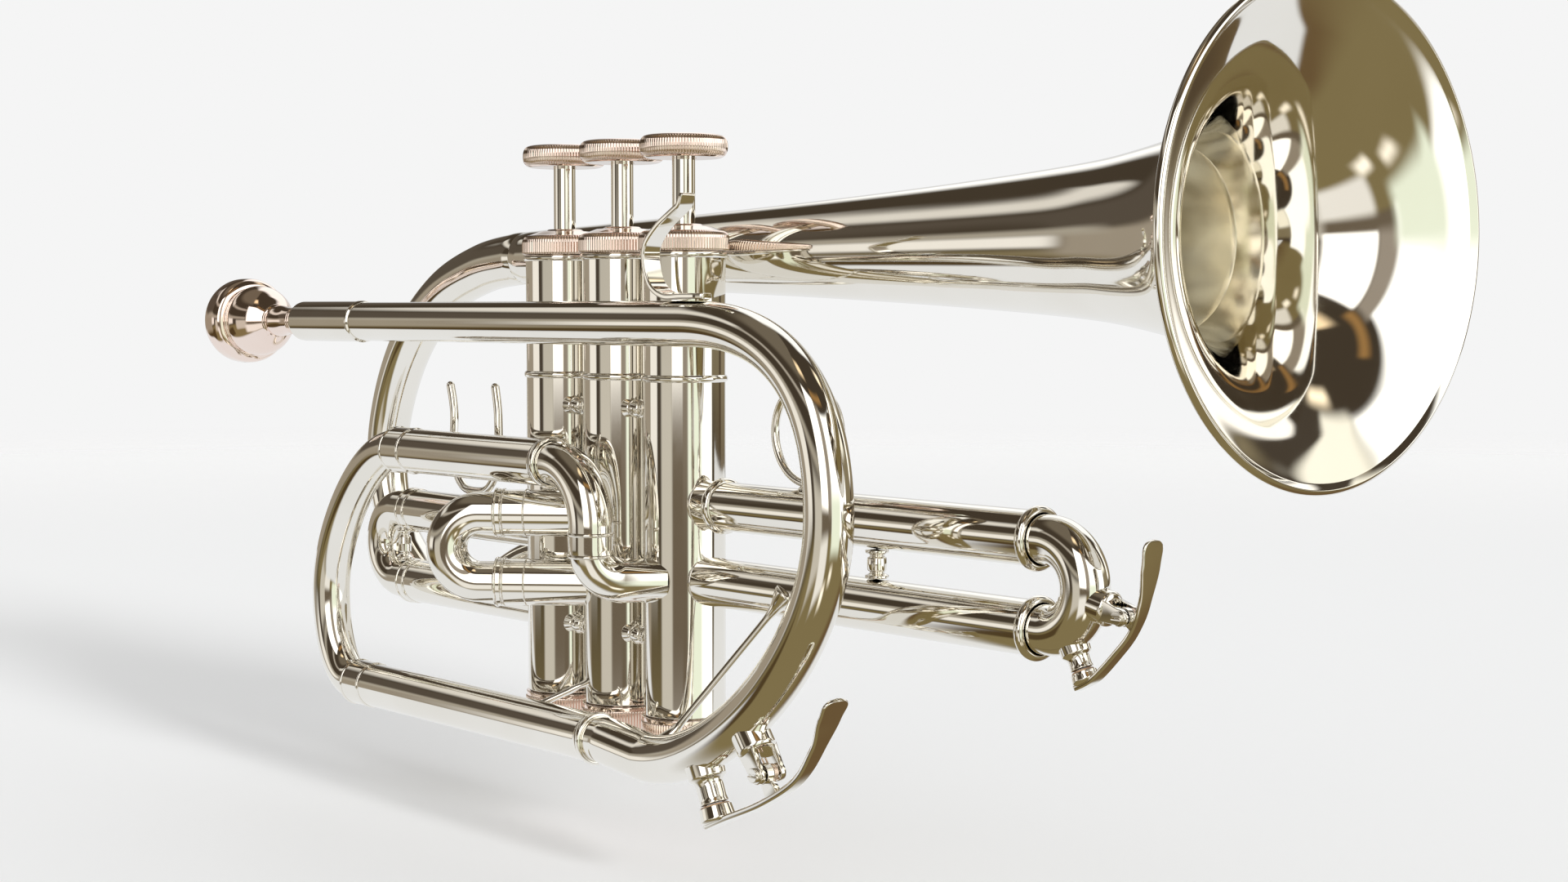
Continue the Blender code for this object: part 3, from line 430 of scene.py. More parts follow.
def spread(tree, source, output, low, high):
    """Maps a texture's middle values to a range."""
    ramp = tree.nodes.new("ShaderNodeMapRange")
    ramp.inputs["From Min"].default_value = 0.3
    ramp.inputs["From Max"].default_value = 0.7
    ramp.inputs["To Min"].default_value = low
    ramp.inputs["To Max"].default_value = high
    link(tree, source, output, ramp, "Value")
    return ramp


def two_tone(tree, source, dark, light):
    ramp = tree.nodes.new("ShaderNodeValToRGB")
    ramp.color_ramp.elements[0].position = 0.3
    ramp.color_ramp.elements[0].color = (*dark, 1)
    ramp.color_ramp.elements[1].position = 0.7
    ramp.color_ramp.elements[1].color = (*light, 1)
    link(tree, source, "Fac", ramp, "Fac")
    return ramp


def new_material(name):
    mat = bpy.data.materials.new(name)
    mat.use_nodes = True
    return mat, mat.node_tree, mat.node_tree.nodes["Principled BSDF"]


def metal(name, dark, light, roughness, buffing):
    """Plated metal: a faint tarnish, polish that varies, and very shallow buffing waves."""
    mat, tree, shader = new_material(name)
    shader.inputs["Metallic"].default_value = 1.0
    tone = two_tone(tree, noise(tree, 26.0, 3.0, 0.4), dark, light)
    link(tree, tone, "Color", shader, "Base Color")
    polish = spread(tree, noise(tree, 90.0, 4.0, 0.8), "Fac", *roughness)
    link(tree, polish, "Result", shader, "Roughness")
    wave = tree.nodes.new("ShaderNodeBump")
    wave.inputs["Strength"].default_value = buffing
    wave.inputs["Distance"].default_value = 0.0004
    link(tree, noise(tree, 55.0, 1.0), "Fac", wave, "Height")
    link(tree, wave, "Normal", shader, "Normal")
    return mat


def throat_metal():
    """Plate for the bell's deep inside, with a faint mottled light of its own.

    Light in there has bounced more often than a renderer follows it, and would end black.
    """
    mat = metal("throat_silver_painted_glow", (0.80, 0.76, 0.66), (0.86, 0.82, 0.72), (0.12, 0.2), 0.02)
    shader = mat.node_tree.nodes["Principled BSDF"]
    # Painted glow: a mottled emission that stands in for light bounced deep in the throat.
    painted_glints = two_tone(mat.node_tree, noise(mat.node_tree, 70.0, 0.0, 0.8), (0.03, 0.02, 0.01),
                      (0.42, 0.40, 0.31))
    link(mat.node_tree, painted_glints, "Color", shader, "Emission Color")
    shader.inputs["Emission Strength"].default_value = 0.32
    return mat


def cork_material():
    mat, tree, shader = new_material("cork_grain")
    shader.inputs["Roughness"].default_value = 0.85
    grain = noise(tree, 900.0, 5.0, 1.0)
    tone = two_tone(tree, grain, (0.30, 0.17, 0.09), (0.66, 0.46, 0.29))
    link(tree, tone, "Color", shader, "Base Color")
    pits = tree.nodes.new("ShaderNodeBump")
    pits.inputs["Strength"].default_value = 0.5
    pits.inputs["Distance"].default_value = 0.0003
    link(tree, grain, "Fac", pits, "Height")
    link(tree, pits, "Normal", shader, "Normal")
    return mat


FINISHES = {
    "silver_plate": metal("silver_plate_polish", (0.86, 0.83, 0.765), (0.90, 0.875, 0.82),
                          (0.035, 0.065), 0.02),
    "rose_plate": metal("rose_plate_polish", (0.90, 0.755, 0.68), (0.94, 0.81, 0.74),
                        (0.04, 0.08), 0.02),
    "spring_wire": metal("spring_wire_drawn", (0.86, 0.66, 0.55), (0.94, 0.78, 0.66),
                         (0.12, 0.2), 0.05),
    "throat_silver": throat_metal(),
    "cork": cork_material(),
}


# ============ valves
def casing(number, x):
    lip = CASING_R + 0.1
    top = CAP_TOP - CAP_SKIRT
    outline = [(SPIGOT_R, CASING_FOOT), (SPIGOT_R, BOTTOM_H + FIT), (CASING_R, BOTTOM_H + FIT)]
    outline += bead(CASING_R, BEAD_Z, 1.0, 0.65)
    outline += bead(lip, LIP_Z, 0.95, 0.65)
    outline += [(SPIGOT_R, LIP_Z + 1.0), (SPIGOT_R, top), (BORE_R, top), (BORE_R, CASING_FOOT)]
    bm = bmesh.new()
    turned(bm, fillet(outline), (x, 0, 0), sides=128)
    hole = PISTON_ROD_R + 1.0
    shelf = [(hole, GUIDE_TOP - 3), (BORE_R + 0.2, GUIDE_TOP - 3), (BORE_R + 0.2, GUIDE_TOP),
             (hole, GUIDE_TOP)]
    turned(bm, fillet(shelf), (x, 0, 0))
    piece(f"casing_{number}_fine", bm, "silver_plate", "horn", f"casing_{number}")


def top_cap(number, x):
    low = LIP_Z + 1.0
    high = CAP_TOP - CAP_SKIRT
    hole = STEM_R + FIT
    inner = SPIGOT_R + FIT
    outline = [
        (inner, low), (CAP_R - 0.4, low, 0.1), (CAP_R, low + 0.4, 0.2), (CAP_R, high - 1.2, 0.1),
        (CAP_R - 0.15, high - 0.4, 0.1), (CAP_R - 0.7, high + 0.35, 0.1),
        (CAP_R - 1.5, high + 0.8, 0.1), (CAP_R - 2.1, high + 0.9, 0.3), (7.2, CAP_TOP - 0.2, 0.4),
        (6.4, CAP_TOP - 0.3), (5.4, CAP_TOP - 0.1), (4.9, CAP_TOP + 0.4), (hole, CAP_TOP + 0.4),
        (hole, CAP_TOP - 2.0), (inner, CAP_TOP - 2.0),
    ]

    def ridges(radius, height):
        return KNURL_DEPTH if radius > CAP_R - 1.2 and low + 0.1 < height < high + 0.7 else 0.0

    turned_piece(f"top_cap_{number}", fillet(outline, steps=3), (x, 0, 0), UP, 4 * KNURL_RIDGES,
                 "horn", "rose_plate", ridges)


def bottom_cap(number, x):
    inner = SPIGOT_R + FIT
    top = BOTTOM_H
    outline = [
        (0, 0.4), (5.0, 0.4), (5.6, 0.0), (BOTTOM_R - 1.6, 0, 0.6), (BOTTOM_R - 0.3, 1.4, 0.5),
        (BOTTOM_R, 1.8, 0.1), (BOTTOM_R, top - 1.6, 0.1), (BOTTOM_R - 0.3, top - 1.3, 0.1),
        (BOTTOM_R - 0.2, top), (inner, top), (inner, 2.2), (0, 2.2),
    ]

    def ridges(radius, height):
        return KNURL_DEPTH if radius > BOTTOM_R - 0.2 and 1.5 < height < top - 1.4 else 0.0

    turned_piece(f"bottom_cap_{number}", fillet(outline, steps=3), (x, 0, 0), UP,
                 4 * KNURL_RIDGES, "horn", "rose_plate", ridges)


def piston(number, x):
    outline = [
        (0, PISTON_LOW + 14), (5.0, PISTON_LOW + 14), (7.4, PISTON_LOW), (PISTON_R, PISTON_LOW),
        (PISTON_R, PISTON_TOP), (PISTON_ROD_R, PISTON_TOP), (PISTON_ROD_R, COLLAR_Z - 2),
        (COLLAR_R, COLLAR_Z - 2), (COLLAR_R, COLLAR_Z + 2), (STEM_R, COLLAR_Z + 2),
        (STEM_R, BUTTON_LOW + 4), (0, BUTTON_LOW + 4),
    ]
    turned_piece(f"piston_{number}", fillet(outline), (x, 0, 0), UP, 64, f"valve_{number}")


def button(number, x):
    hole = STEM_R + FIT
    low = BUTTON_LOW
    top = BUTTON_TOP
    outline = [
        (hole, low), (BUTTON_R - 2.0, low, 0.4), (BUTTON_R - 1.2, low + 0.4, 0.2),
        (BUTTON_R - 0.7, low + 0.8, 0.1), (BUTTON_R - 0.2, low + 1.6, 0.2),
        (BUTTON_R, low + 2.6, 0.3), (BUTTON_R, top - 2.6, 0.3), (BUTTON_R - 0.2, top - 1.6, 0.2),
        (BUTTON_R - 0.7, top - 0.8, 0.1), (BUTTON_R - 1.2, top - 0.4, 0.2),
        (BUTTON_R - 2.0, top - 0.1, 0.3), (BUTTON_R - 2.9, top - 0.2, 0.3),
        (BUTTON_R - 3.6, top - 0.6, 0.4), (4.0, top - 0.9, 1.0), (0, top - 0.95), (0, low + 4.4),
        (hole, low + 4.4),
    ]

    def ridges(radius, height):
        return KNURL_DEPTH if radius > BUTTON_R - 0.8 and low + 0.7 < height < top - 0.7 else 0.0

    turned_piece(f"button_{number}", fillet(outline, steps=3), (x, 0, 0), UP, 4 * KNURL_RIDGES,
                 f"valve_{number}", "rose_plate", ridges)


def valve_spring(number, x):
    low = GUIDE_TOP + 1.0
    high = COLLAR_Z - 3.0
    count = SPRING_TURNS * 32
    path = []
    for i in range(count + 1):
        a = 2 * math.pi * SPRING_TURNS * i / count
        path.append(Vector((x + SPRING_R * math.cos(a), SPRING_R * math.sin(a),
                            low + (high - low) * i / count)))
    bm = bmesh.new()
    swept_wire(bm, path, SPRING_WIRE, UP, 10)
    coil = piece(f"valve_spring_{number}_fine", bm, "spring_wire", "horn",
                 f"valve_spring_{number}")
    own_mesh(coil)


def casing_brace(place, pair):
    """A small turned strut between two casings, waisted on each side of its ball."""
    x = (VALVE_X[pair] + VALVE_X[pair + 1]) / 2
    half = VALVE_PITCH / 2 - 9.4
    outline = [
        (0, -half), (2.7, -half), (1.9, 0.3 - half / 1.6, 0.6), (1.2, -2.3, 0.4), (2.1, -2.0, 0.3),
        (2.7, -0.7, 0.5), (2.7, 0.7, 0.5), (2.1, 2.0, 0.3), (1.2, 2.3, 0.4),
        (1.9, half / 1.6 - 0.3, 0.6), (2.7, half), (0, half),
    ]
    turned_piece(f"casing_brace_{place}_{pair + 1}", fillet(outline),
                 (x, -5.2, BRACE_Z[place]), EAST, 40)


def transfer_tube(pair):
    length = VALVE_PITCH - 2 * PORT
    inner = TRANSFER_R - 0.6
    outline = [(TRANSFER_R, 0), (TRANSFER_R, length), (inner, length), (inner, 0)]
    turned_piece(f"transfer_tube_{pair + 1}", fillet(outline),
                 (VALVE_X[pair] + PORT, 0, TRANSFER_Z[pair]), EAST, 48)


def build_valves():
    for number, x in enumerate(VALVE_X, 1):
        casing(number, x)
        top_cap(number, x)
        bottom_cap(number, x)
        piston(number, x)
        button(number, x)
        valve_spring(number, x)
    for pair in (0, 1):
        for place in BRACE_Z:
            casing_brace(place, pair)
        transfer_tube(pair)


# ============ lead pipe and bow
def xz(x, z, y=LEAD_Y):
    return Vector((x, y, z))


def mouthpiece():
    rim = [(8.7, 1.0), (9.6, 0.15), (10.9, 0.0), (12.4, 0.45), (13.5, 1.6), (14.0, 3.4),
           (14.05, 6.4), (13.9, 8.4), (13.2, 9.9), (12.0, 10.7), (10.9, 10.9)]
    bowl = [(10.5, 11.2), (11.2, 12.3), (11.6, 14.4), (11.2, 16.8), (10.1, 19.3), (8.2, 21.8),
            (6.0, 23.8), (4.6, 25.0)]
    throat = [(1.95, 22.0), (2.6, 18.0), (5.0, 15.0), (7.2, 10.5), (8.3, 5.0), (8.45, 2.4)]
    outline = smooth_outline(rim) + smooth_outline(bowl)
    outline += bead(4.9, 26.3, 0.6, 0.6)
    outline += smooth_outline([(4.8, 27.0), (5.1, 28.6), (4.9, 31.0), (4.3, 34.6), (4.1, 38.6)])
    outline += bead(4.1, 39.9, 0.5, 0.5) + bead(4.1, 41.2, 0.6, 0.6)
    outline += [(4.2, 43.6), (4.05, 68.0), (3.3, 68.0), (1.9, 26.0)]
    outline += smooth_outline(throat)
    turned_piece("mouthpiece", outline, (RECEIVER_X - MOUTHPIECE_REACH, LEAD_Y, LEAD_Z), EAST,
                 128, "mouthpiece", "rose_plate")


def smooth_outline(knots, steps=6):
    return [(p.x, p.y) for p in smooth_path([Vector((r, h, 0)) for r, h in knots], steps)]


def receiver():
    length = RECEIVER_END - RECEIVER_X
    step = LEAD_START - RECEIVER_X - FIT
    outline = [(5.0, 0), (5.7, 0, 0.5), (6.3, 1.1, 0.9), (6.3, length - 1.6, 0.05)]
    outline += bead(6.25, length - 0.9, 0.55, 0.3) + [
        (6.0, length), (5.95, length), (5.95, step), (5.0, step)]
    turned_piece("mouthpiece_receiver", fillet(outline, 0.2), (RECEIVER_X, LEAD_Y, LEAD_Z),
                 EAST, 72)


def bow_path(steps):
    start = xz(LEAD_BEND, LEAD_Z)
    side = xz(BOW_X, BOW_Z)
    foot = xz(BOW_FOOT_X, BOW_FOOT_Z)
    path = [xz(LEAD_START, LEAD_Z), xz(-104, LEAD_Z), xz(-60, LEAD_Z), xz(0, LEAD_Z), start]
    path += quarter(start, xz(BOW_X, LEAD_Z), side, BOW_HIGH_HOLD, steps)
    path += quarter(side, xz(BOW_X, BOW_FOOT_Z), foot, BOW_LOW_HOLD, steps)
    tail = [foot, xz(FERRULE_X + 12, LOW_Z - 0.3), xz(FERRULE_X + 9, LOW_Z),
            xz(FERRULE_X + 1, LOW_Z)]
    return path + smooth_path(tail, 5)[1:]


def leadpipe():
    steps = 56
    path = bow_path(steps)
    bend = 4
    last = len(path) - 1

    def outer(t):
        along = t * last
        if along < bend:
            return LEAD_END_R if along < 0.5 else LEAD_R
        swell = min((along - bend) / (2 * steps), 1.0)
        end = max(along - (last - 12), 0.0) / 12
        return LEAD_R + (BOW_R - LEAD_R) * swell - 0.3 * min(end, 1.0)

    bm = bmesh.new()
    swept_tube(bm, path, outer, sides=72)
    piece("leadpipe_bow_fine", bm, "silver_plate", "horn", "leadpipe_bow")


# ============ slide tubes
def sleeve_outline(length, near, band):
    """A slide's outer tube: an optional ring where it starts, and the banded open end."""
    far = SLEEVE_R + 0.25
    outline = [(SLEEVE_BORE_R, 0)]
    if near:
        outline += bead(near, 0.8, 0.8, 0.45) + [(near, 1.6), (near, 2.6), (SLEEVE_R, 3.2)]
    else:
        outline += [(SLEEVE_R, 0)]
    outline += bead(SLEEVE_R, length - band - 0.2, 0.4, 0.42)
    outline += [(far, length - band + 0.3), (far, length - 1.0)]
    outline += bead(far, length - 0.5, 0.45, 0.3)
    outline += [(SLEEVE_BORE_R, length)]
    return fillet(outline, 0.2)


def sleeve(name, base, axis, length, near=None, band=4.0, rings=()):
    bm = bmesh.new()
    turned(bm, sleeve_outline(length, near, band), base, axis, 72)
    for at, half, proud in rings:
        ring = bead(SLEEVE_R - 0.1, at, half, proud) + [(SLEEVE_R - 0.4, at + half),
                                                        (SLEEVE_R - 0.4, at - half)]
        turned(bm, ring, base, axis, 72)
    piece(name + "_fine", bm, "silver_plate", "horn", name)


def tube_piece(name, path, radius, body, side=LEFT, rings=()):
    bm = bmesh.new()
    swept_tube(bm, path, radius, side=side)
    for centre, axis, r in rings:
        thin = bead(r - 0.1, 0, 0.55, 0.55) + [(r - 0.3, 0.55), (r - 0.3, -0.55)]
        turned(bm, thin, centre, axis, 64)
    piece(name + "_fine", bm, "silver_plate", body, name)


def main_slide():
    low_length = FERRULE_X + 6.0 - LOW_X
    sleeve("lower_slide_sleeve", (FERRULE_X + 6.0, LEAD_Y, LOW_Z), WEST, low_length, 6.85, 10.0)
    sleeve("upper_slide_sleeve", (HIGH_END_X, LEAD_Y, HIGH_Z), WEST, HIGH_END_X - HIGH_X, 6.85,
           10.0)
    top = xz(HIGH_X - 1.0, HIGH_Z)
    mid = xz(CROOK_X, CROOK_Z)
    foot = xz(LOW_X - 1.0, LOW_Z)
    path = [xz(HIGH_X + 48.0, HIGH_Z), top]
    path += quarter(top, xz(CROOK_X, HIGH_Z), mid, (0.42, 0.42), 48)
    path += quarter(mid, xz(CROOK_X, LOW_Z), foot, (0.58, 0.58), 40)
    path.append(xz(LOW_X + 70.0, LOW_Z))
    tube_piece("main_slide_crook", path, LEG_R, "main_slide")


def elbow():
    turn = xz(ELBOW_X - 16.0, HIGH_Z)
    drop = xz(ELBOW_X, HIGH_Z - 17.0)
    low = xz(ELBOW_X, ELBOW_Z + 9.0)
    corner = xz(ELBOW_X, ELBOW_Z)
    path = [xz(HIGH_END_X - 5.0, HIGH_Z), turn]
    path += quarter(turn, xz(ELBOW_X, HIGH_Z), drop, (0.55, 0.55), 32)
    path.append(low)
    path += quarter(low, corner, corner + ELBOW_DIR * 9.0, (0.55, 0.55), 24)
    path.append(corner + ELBOW_DIR * 20.5)
    rings = [(xz(ELBOW_X, z), UP, ELBOW_R) for z in (59.0, 53.0)]
    tube_piece("valve_elbow", path, ELBOW_R, "horn", rings=rings)


def u_path(origin, direction, bend, heights, leg):
    origin = Vector(origin)
    radius = (heights[0] - heights[1]) / 2
    middle = (heights[0] + heights[1]) / 2
    path = [origin + direction * (bend - leg) + UP * heights[0]]
    for i in range(49):
        a = math.pi / 2 - math.pi * i / 48
        reach = bend + radius * math.cos(a)
        path.append(origin + direction * reach + UP * (middle + radius * math.sin(a)))
    path.append(origin + direction * (bend - leg) + UP * heights[1])
    return path


def first_slide():
    length = VALVE_X[0] - PORT - FIRST_END
    for place, z in zip(("upper", "lower"), FIRST_Z):
        sleeve(f"first_slide_{place}_sleeve", (VALVE_X[0] - PORT, 0, z), WEST, length, band=4.0)
    path = u_path((VALVE_X[0], 0, 0), WEST, VALVE_X[0] - FIRST_BEND, FIRST_Z, 40.0)
    tube_piece("first_slide_crook", path, LEG_R, "first_slide", WEST.cross(UP))


def second_slide():
    length = SECOND_REACH - PORT
    for place, z in zip(("upper", "lower"), SECOND_Z):
        base = SECOND_DIR * PORT + UP * z
        sleeve(f"second_slide_{place}_sleeve", base, SECOND_DIR, length, band=2.4,
               rings=((length - 9.0, 0.3, 0.35),))
    path = u_path((0, 0, 0), SECOND_DIR, SECOND_BEND, SECOND_Z, 22.0)
    tube_piece("second_slide_crook", path, LEG_R, "second_slide", SECOND_DIR.cross(UP))


def third_slide():
    root = VALVE_X[2] + PORT
    length = THIRD_END - root
    for place, z in zip(("upper", "lower"), THIRD_Z):
        rings = [(0.9, 0.35, 0.3), (length - 1.35, 1.3, 1.25)]
        if place == "upper":
            rings.append((8.0, 1.5, 1.15))
        sleeve(f"third_slide_{place}_sleeve", (root, 0, z), EAST, length, band=0.9, rings=rings)
    path = u_path((VALVE_X[2], 0, 0), EAST, THIRD_BEND - VALVE_X[2], THIRD_Z, 60.0)
    tube_piece("third_slide_crook", path, LEG_R, "third_slide", EAST.cross(UP))


def turned_post(name, x, low, high, radius, body):
    """A short baluster between two slide tubes, with waisted ends."""
    span = high - low
    shape = ((1.25, 0.0), (1.25, 0.10), (1.05, 0.13), (0.75, 0.18), (0.75, 0.22), (1.0, 0.27),
             (1.06, 0.5), (1.0, 0.73), (0.75, 0.78), (0.75, 0.82), (1.05, 0.87), (1.25, 0.90),
             (1.25, 1.0))
    outline = [(0, -0.3)] + [(radius * r, span * h) for r, h in shape] + [(0, span + 0.3)]
    turned_piece(name, fillet(outline, 0.25), (x, 0, low), UP, 48, body)


def finger_ring():
    centre = Vector((RING_X, 0, THIRD_Z[0] + SLEEVE_R + FIT + RING_R))
    path = circle(centre, EAST, UP, RING_R - RING_WIRE, 96)
    bm = bmesh.new()
    swept_wire(bm, path, RING_WIRE, closed=True, sides=20)
    foot = [(0, 0.0), (2.6, 0.0), (2.4, 0.5), (1.3, 1.4), (0, 1.6)]
    turned(bm, fillet(foot), (RING_X, 0, THIRD_Z[0] + SLEEVE_R - 0.2), UP, 32)
    piece("finger_ring_fine", bm, "silver_plate", "horn", "finger_ring")


def saddle():
    """The first slide's thumb rest: one bent wire, open at the top."""
    seat = FIRST_Z[0] + SLEEVE_R + 1.6
    left, right = SADDLE_X
    tip = SADDLE_TIP
    knots = [
        xz(left - 1.5, tip, 0), xz(left + 0.5, tip - 9, 0), xz(left, seat + 9, 0),
        xz(left + 5, seat + 1.5, 0), xz((left + right) / 2, seat, 0),
        xz(right - 5, seat + 1.5, 0), xz(right, seat + 9, 0), xz(right + 0.5, tip - 9, 0),
        xz(right - 1, tip, 0),
    ]
    bm = bmesh.new()
    swept_wire(bm, smooth_path(knots, 12), SADDLE_WIRE, sides=20)
    piece("first_slide_saddle_fine", bm, "silver_plate", "horn", "first_slide_saddle")


def hook():
    """The little finger's hook: a bent strip that tapers to its foot and towards its tip."""
    seat = LEAD_Z + 6.0 + FIT + 0.8
    knots = [
        xz(70.0, seat), xz(62.0, seat), xz(54.5, seat), xz(48.8, seat + 2.8),
        xz(46.2, seat + 8.4), xz(46.6, seat + 13.4), xz(51.2, seat + 18.0), xz(56.6, seat + 21.2),
        xz(59.9, seat + 23.0),
    ]
    path = smooth_path(knots, 10)
    path += quarter(path[-1], xz(61.2, seat + 23.8), xz(61.6, seat + 26.4), (0.6, 0.4), 8)
    count = len(path)
    widths = []
    for i in range(count):
        foot = 1 - min(i / 6, 1)
        tip = 1 - min((count - 1 - i) / 2, 1)
        taper = 1 - 0.17 * max(i / count - 0.5, 0) * 2
        widths.append(5.7 * taper * (1 - 0.6 * foot ** 2 - 0.08 * tip ** 2))
    bm = bmesh.new()
    swept_strip(bm, path, widths, [1.5] * count, 0.4)
    piece("little_finger_hook_fine", bm, "silver_plate", "horn", "little_finger_hook")


def brace_rod(name, start, end, feet, sink=1.5):
    """A thin rod between two tubes, with trumpet feet; its far foot sinks in past the end."""
    axis = end - start
    length = axis.length
    outline = [(0, -1.5), (feet[0] * 1.1, -1.5), (feet[0] * 0.8, 1.0), (feet[0] * 0.5, 3.4),
               (1.0, 5.6), (0.95, 8.0), (0.95, length - 9.0), (1.05, length - 6.6),
               (feet[1] * 0.5, length - 3.6), (feet[1] * 0.8, length - 1.2),
               (feet[1] * 1.1, length + sink), (0, length + sink)]
    turned_piece(name, fillet(outline, 1.0), start, axis, 40)


def build_tubing():
    mouthpiece()
    receiver()
    leadpipe()
    main_slide()
    elbow()
    first_slide()
    second_slide()
    third_slide()
    gap = SLEEVE_R + FIT
    turned_post("third_slide_post", 107.0, THIRD_Z[1] + gap, THIRD_Z[0] - gap, 2.4, "horn")
    gap = LEG_R + FIT
    turned_post("first_slide_post", -120.0, FIRST_Z[1] + gap, FIRST_Z[0] - gap, 2.0,
                "first_slide")
    finger_ring()
    saddle()
    hook()
    brace_rod("bow_brace", Vector((50.2, LEAD_Y + 1.4, 6.2)), Vector((77.2, -5.2, 45.6)),
              (2.9, 3.4))
    brace_rod("slide_brace", Vector((-14.2, -22.6, 6.4)), Vector((-1.7, -9.9, 14.8)), (1.8, 1.6),
              0.0)


# ============ bell
def bell():
    """The bell with its rolled rim, and a thin liner on the deep part of its inside that glows
    with painted light.
    """
    knots = [(0, 8.4), (103, 11.7), (176, 14.8), (232, 18.2), (258, 21.2), (280, 26.4),
             (295, 34.8), (304, 45.2), (308.2, 55.2)]
    curve = smooth_path([Vector((x, r, 0)) for x, r in knots], 14)
    outside = [(p.y, p.x) for p in curve]
    inside = []
    for i, p in enumerate(curve):
        along = (curve[min(i + 1, len(curve) - 1)] - curve[max(i - 1, 0)]).normalized()
        inside.append((p.y - BELL_WALL * along.x, p.x + BELL_WALL * along.y))
    lip = 1.15
    rolled = []
    for k in range(13):
        a = math.radians(205 - 215 * k / 12)
        rolled.append((RIM_R - 0.85 + lip * math.sin(a), BELL_LENGTH - 0.25 + lip * math.cos(a)))
    turned_piece("bell", outside + rolled + inside[::-1], (BELL_START, BELL_Y, BELL_Z), EAST,
                 192)
    # The liner's glow is painted light, standing in for light bounced deep in the throat.
    deep = [(r, x) for r, x in inside if 40 < x < THROAT_END]
    liner = [(r - 0.06, x) for r, x in deep] + [(r + 0.2, x) for r, x in reversed(deep)]
    bm = bmesh.new()
    turned(bm, liner, (BELL_START, BELL_Y, BELL_Z), EAST, 128)
    piece("bell_throat_fine", bm, "throat_silver", "horn", "bell")


def bell_tail():
    """The tube that runs on from the bell, round behind the slides and into the first valve."""
    start = xz(BELL_START - FIT, BELL_Z, BELL_Y)
    port = Vector((VALVE_X[0], 0, TAIL_Z)) + TAIL_DIR * PORT
    knots = [
        start + WEST * 4.0, xz(-111.5, 134, BELL_Y), xz(-135.5, 126, BELL_Y),
        xz(-157, 110, BELL_Y), xz(-171, 88, BELL_Y), xz(-175.5, 65, BELL_Y),
        xz(-167, 42, BELL_Y), xz(-144, 27, BELL_Y), xz(-112, 29.5, BELL_Y),
        xz(-86, 39.5, BELL_Y), xz(-58, 44, 25.5), port + TAIL_DIR * 10.0, port,
    ]

    def outer(t):
        return 8.4 - 2.3 * min(1.0, t * 1.6)

    tube_piece("bell_tail", [start] + smooth_path(knots, 12), outer, "horn")


# ============ water keys
BOW_KEY = (1.05, 1.02)              # scale of the pivot's end and of the cup's end
BOW_NIPPLE_H = 7.7
SLIDE_KEY = (0.86, 0.72)
SLIDE_NIPPLE_H = 4.2
PIVOT_H = 8.4
NIPPLE_R = 3.9
CORK_H = 2.2
CUP_R = 4.7
CUP_H = 4.6
BOSS_LOW = -1.9
BOSS_HIGH = 0.1
EAR_IN = 2.3
EAR_OUT = 4.0
PIN_HOLE = 1.4
LEVER_WIDTHS = (3.8, 4.4, 4.0, 3.6, 4.4, 7.0, 8.6)
LEVER_THICK = 1.5
BOW_SPOTS = (0.76, 0.575)           # nipple and pivot, along the bow's lower sweep
CROOK_SPOTS = (-62.0, -12.0)        # nipple and pivot, in degrees round the crook


def screw_head(bm, centre, radius, height):
    """A slotted screw head on the -Y side: a floor with two round segments standing on it."""
    floor = [(0, 0), (radius, 0), (radius, height * 0.5), (0, height * 0.5)]
    turned(bm, floor, centre, -LEFT, 40)
    gap = radius * 0.16
    for sign in (-1, 1):
        first = math.asin(gap / radius)
        outline = []
        for k in range(17):
            a = first + (math.pi - 2 * first) * k / 16
            outline.append((radius * math.cos(a), sign * radius * math.sin(a)))
        if sign < 0:
            outline.reverse()
        middle = centre - LEFT * (height * 0.7)
        plate(bm, outline, middle, EAST, UP, height * 0.7, 0.12)


def key_saddle(prefix, seat, out, size):
    along = out.cross(LEFT).normalized()
    foot = [(0, -3.0), (4.9 * size, -3.0), (4.9 * size, 1.9 * size), (4.5 * size, 2.6 * size),
            (3.4 * size, 2.9 * size), (0, 2.9 * size)]
    bm = bmesh.new()
    turned(bm, fillet(foot, 0.35 * size), seat, out, 72)
    pin_at = seat + out * (PIVOT_H * size)
    for sign in (-1, 1):
        middle = seat + LEFT * (sign * (EAR_IN + EAR_OUT) / 2 * size)
        outline = [(-2.9 * size, 1.6 * size), (2.9 * size, 1.6 * size)]
        for k in range(13):
            a = math.radians(-20 + 220 * k / 12)
            outline.append((2.35 * size * math.cos(a), (PIVOT_H + 2.35 * math.sin(a)) * size))
        plate(bm, outline, middle, along, out, (EAR_OUT - EAR_IN) * size, 0.25 * size)
    half = (EAR_OUT + 0.5) * size
    pin = [(0, -half), (1.0 * size, -half), (1.0 * size, half), (0, half)]
    turned(bm, fillet(pin, 0.25), pin_at, LEFT, 32)
    screw_head(bm, pin_at - LEFT * ((EAR_OUT - 0.05) * size), 1.75 * size, 1.0 * size)
    piece(prefix + "_saddle_fine", bm, "silver_plate", KEY_BASE[prefix], prefix + "_saddle")
    return pin_at


def key_nipple(prefix, seat, out, height, size):
    bore = 1.6 * size
    neck = NIPPLE_R * size * 0.93
    outline = [(bore, -3.0), (5.3 * size, -3.0), (5.0 * size, 0.8 * size, 0.4 * size),
               (neck + 0.3 * size, 1.5 * size, 0.5 * size), (neck, 2.6 * size, 0.8 * size),
               (neck, height - 1.2 * size, 0.4), (NIPPLE_R * size, height), (bore, height)]
    turned_piece(prefix + "_nipple", fillet(outline, 0.3 * size), seat, out, 72,
                 KEY_BASE[prefix])


def key_cork(prefix, seat, out, height, size):
    low = height + FIT
    high = low + CORK_H * size
    wide = NIPPLE_R * size - 0.1
    outline = [(0, low), (wide, low), (wide, high), (0, high)]
    turned_piece(prefix + "_cork", fillet(outline, 0.3), seat, out, 48, prefix, "cork")


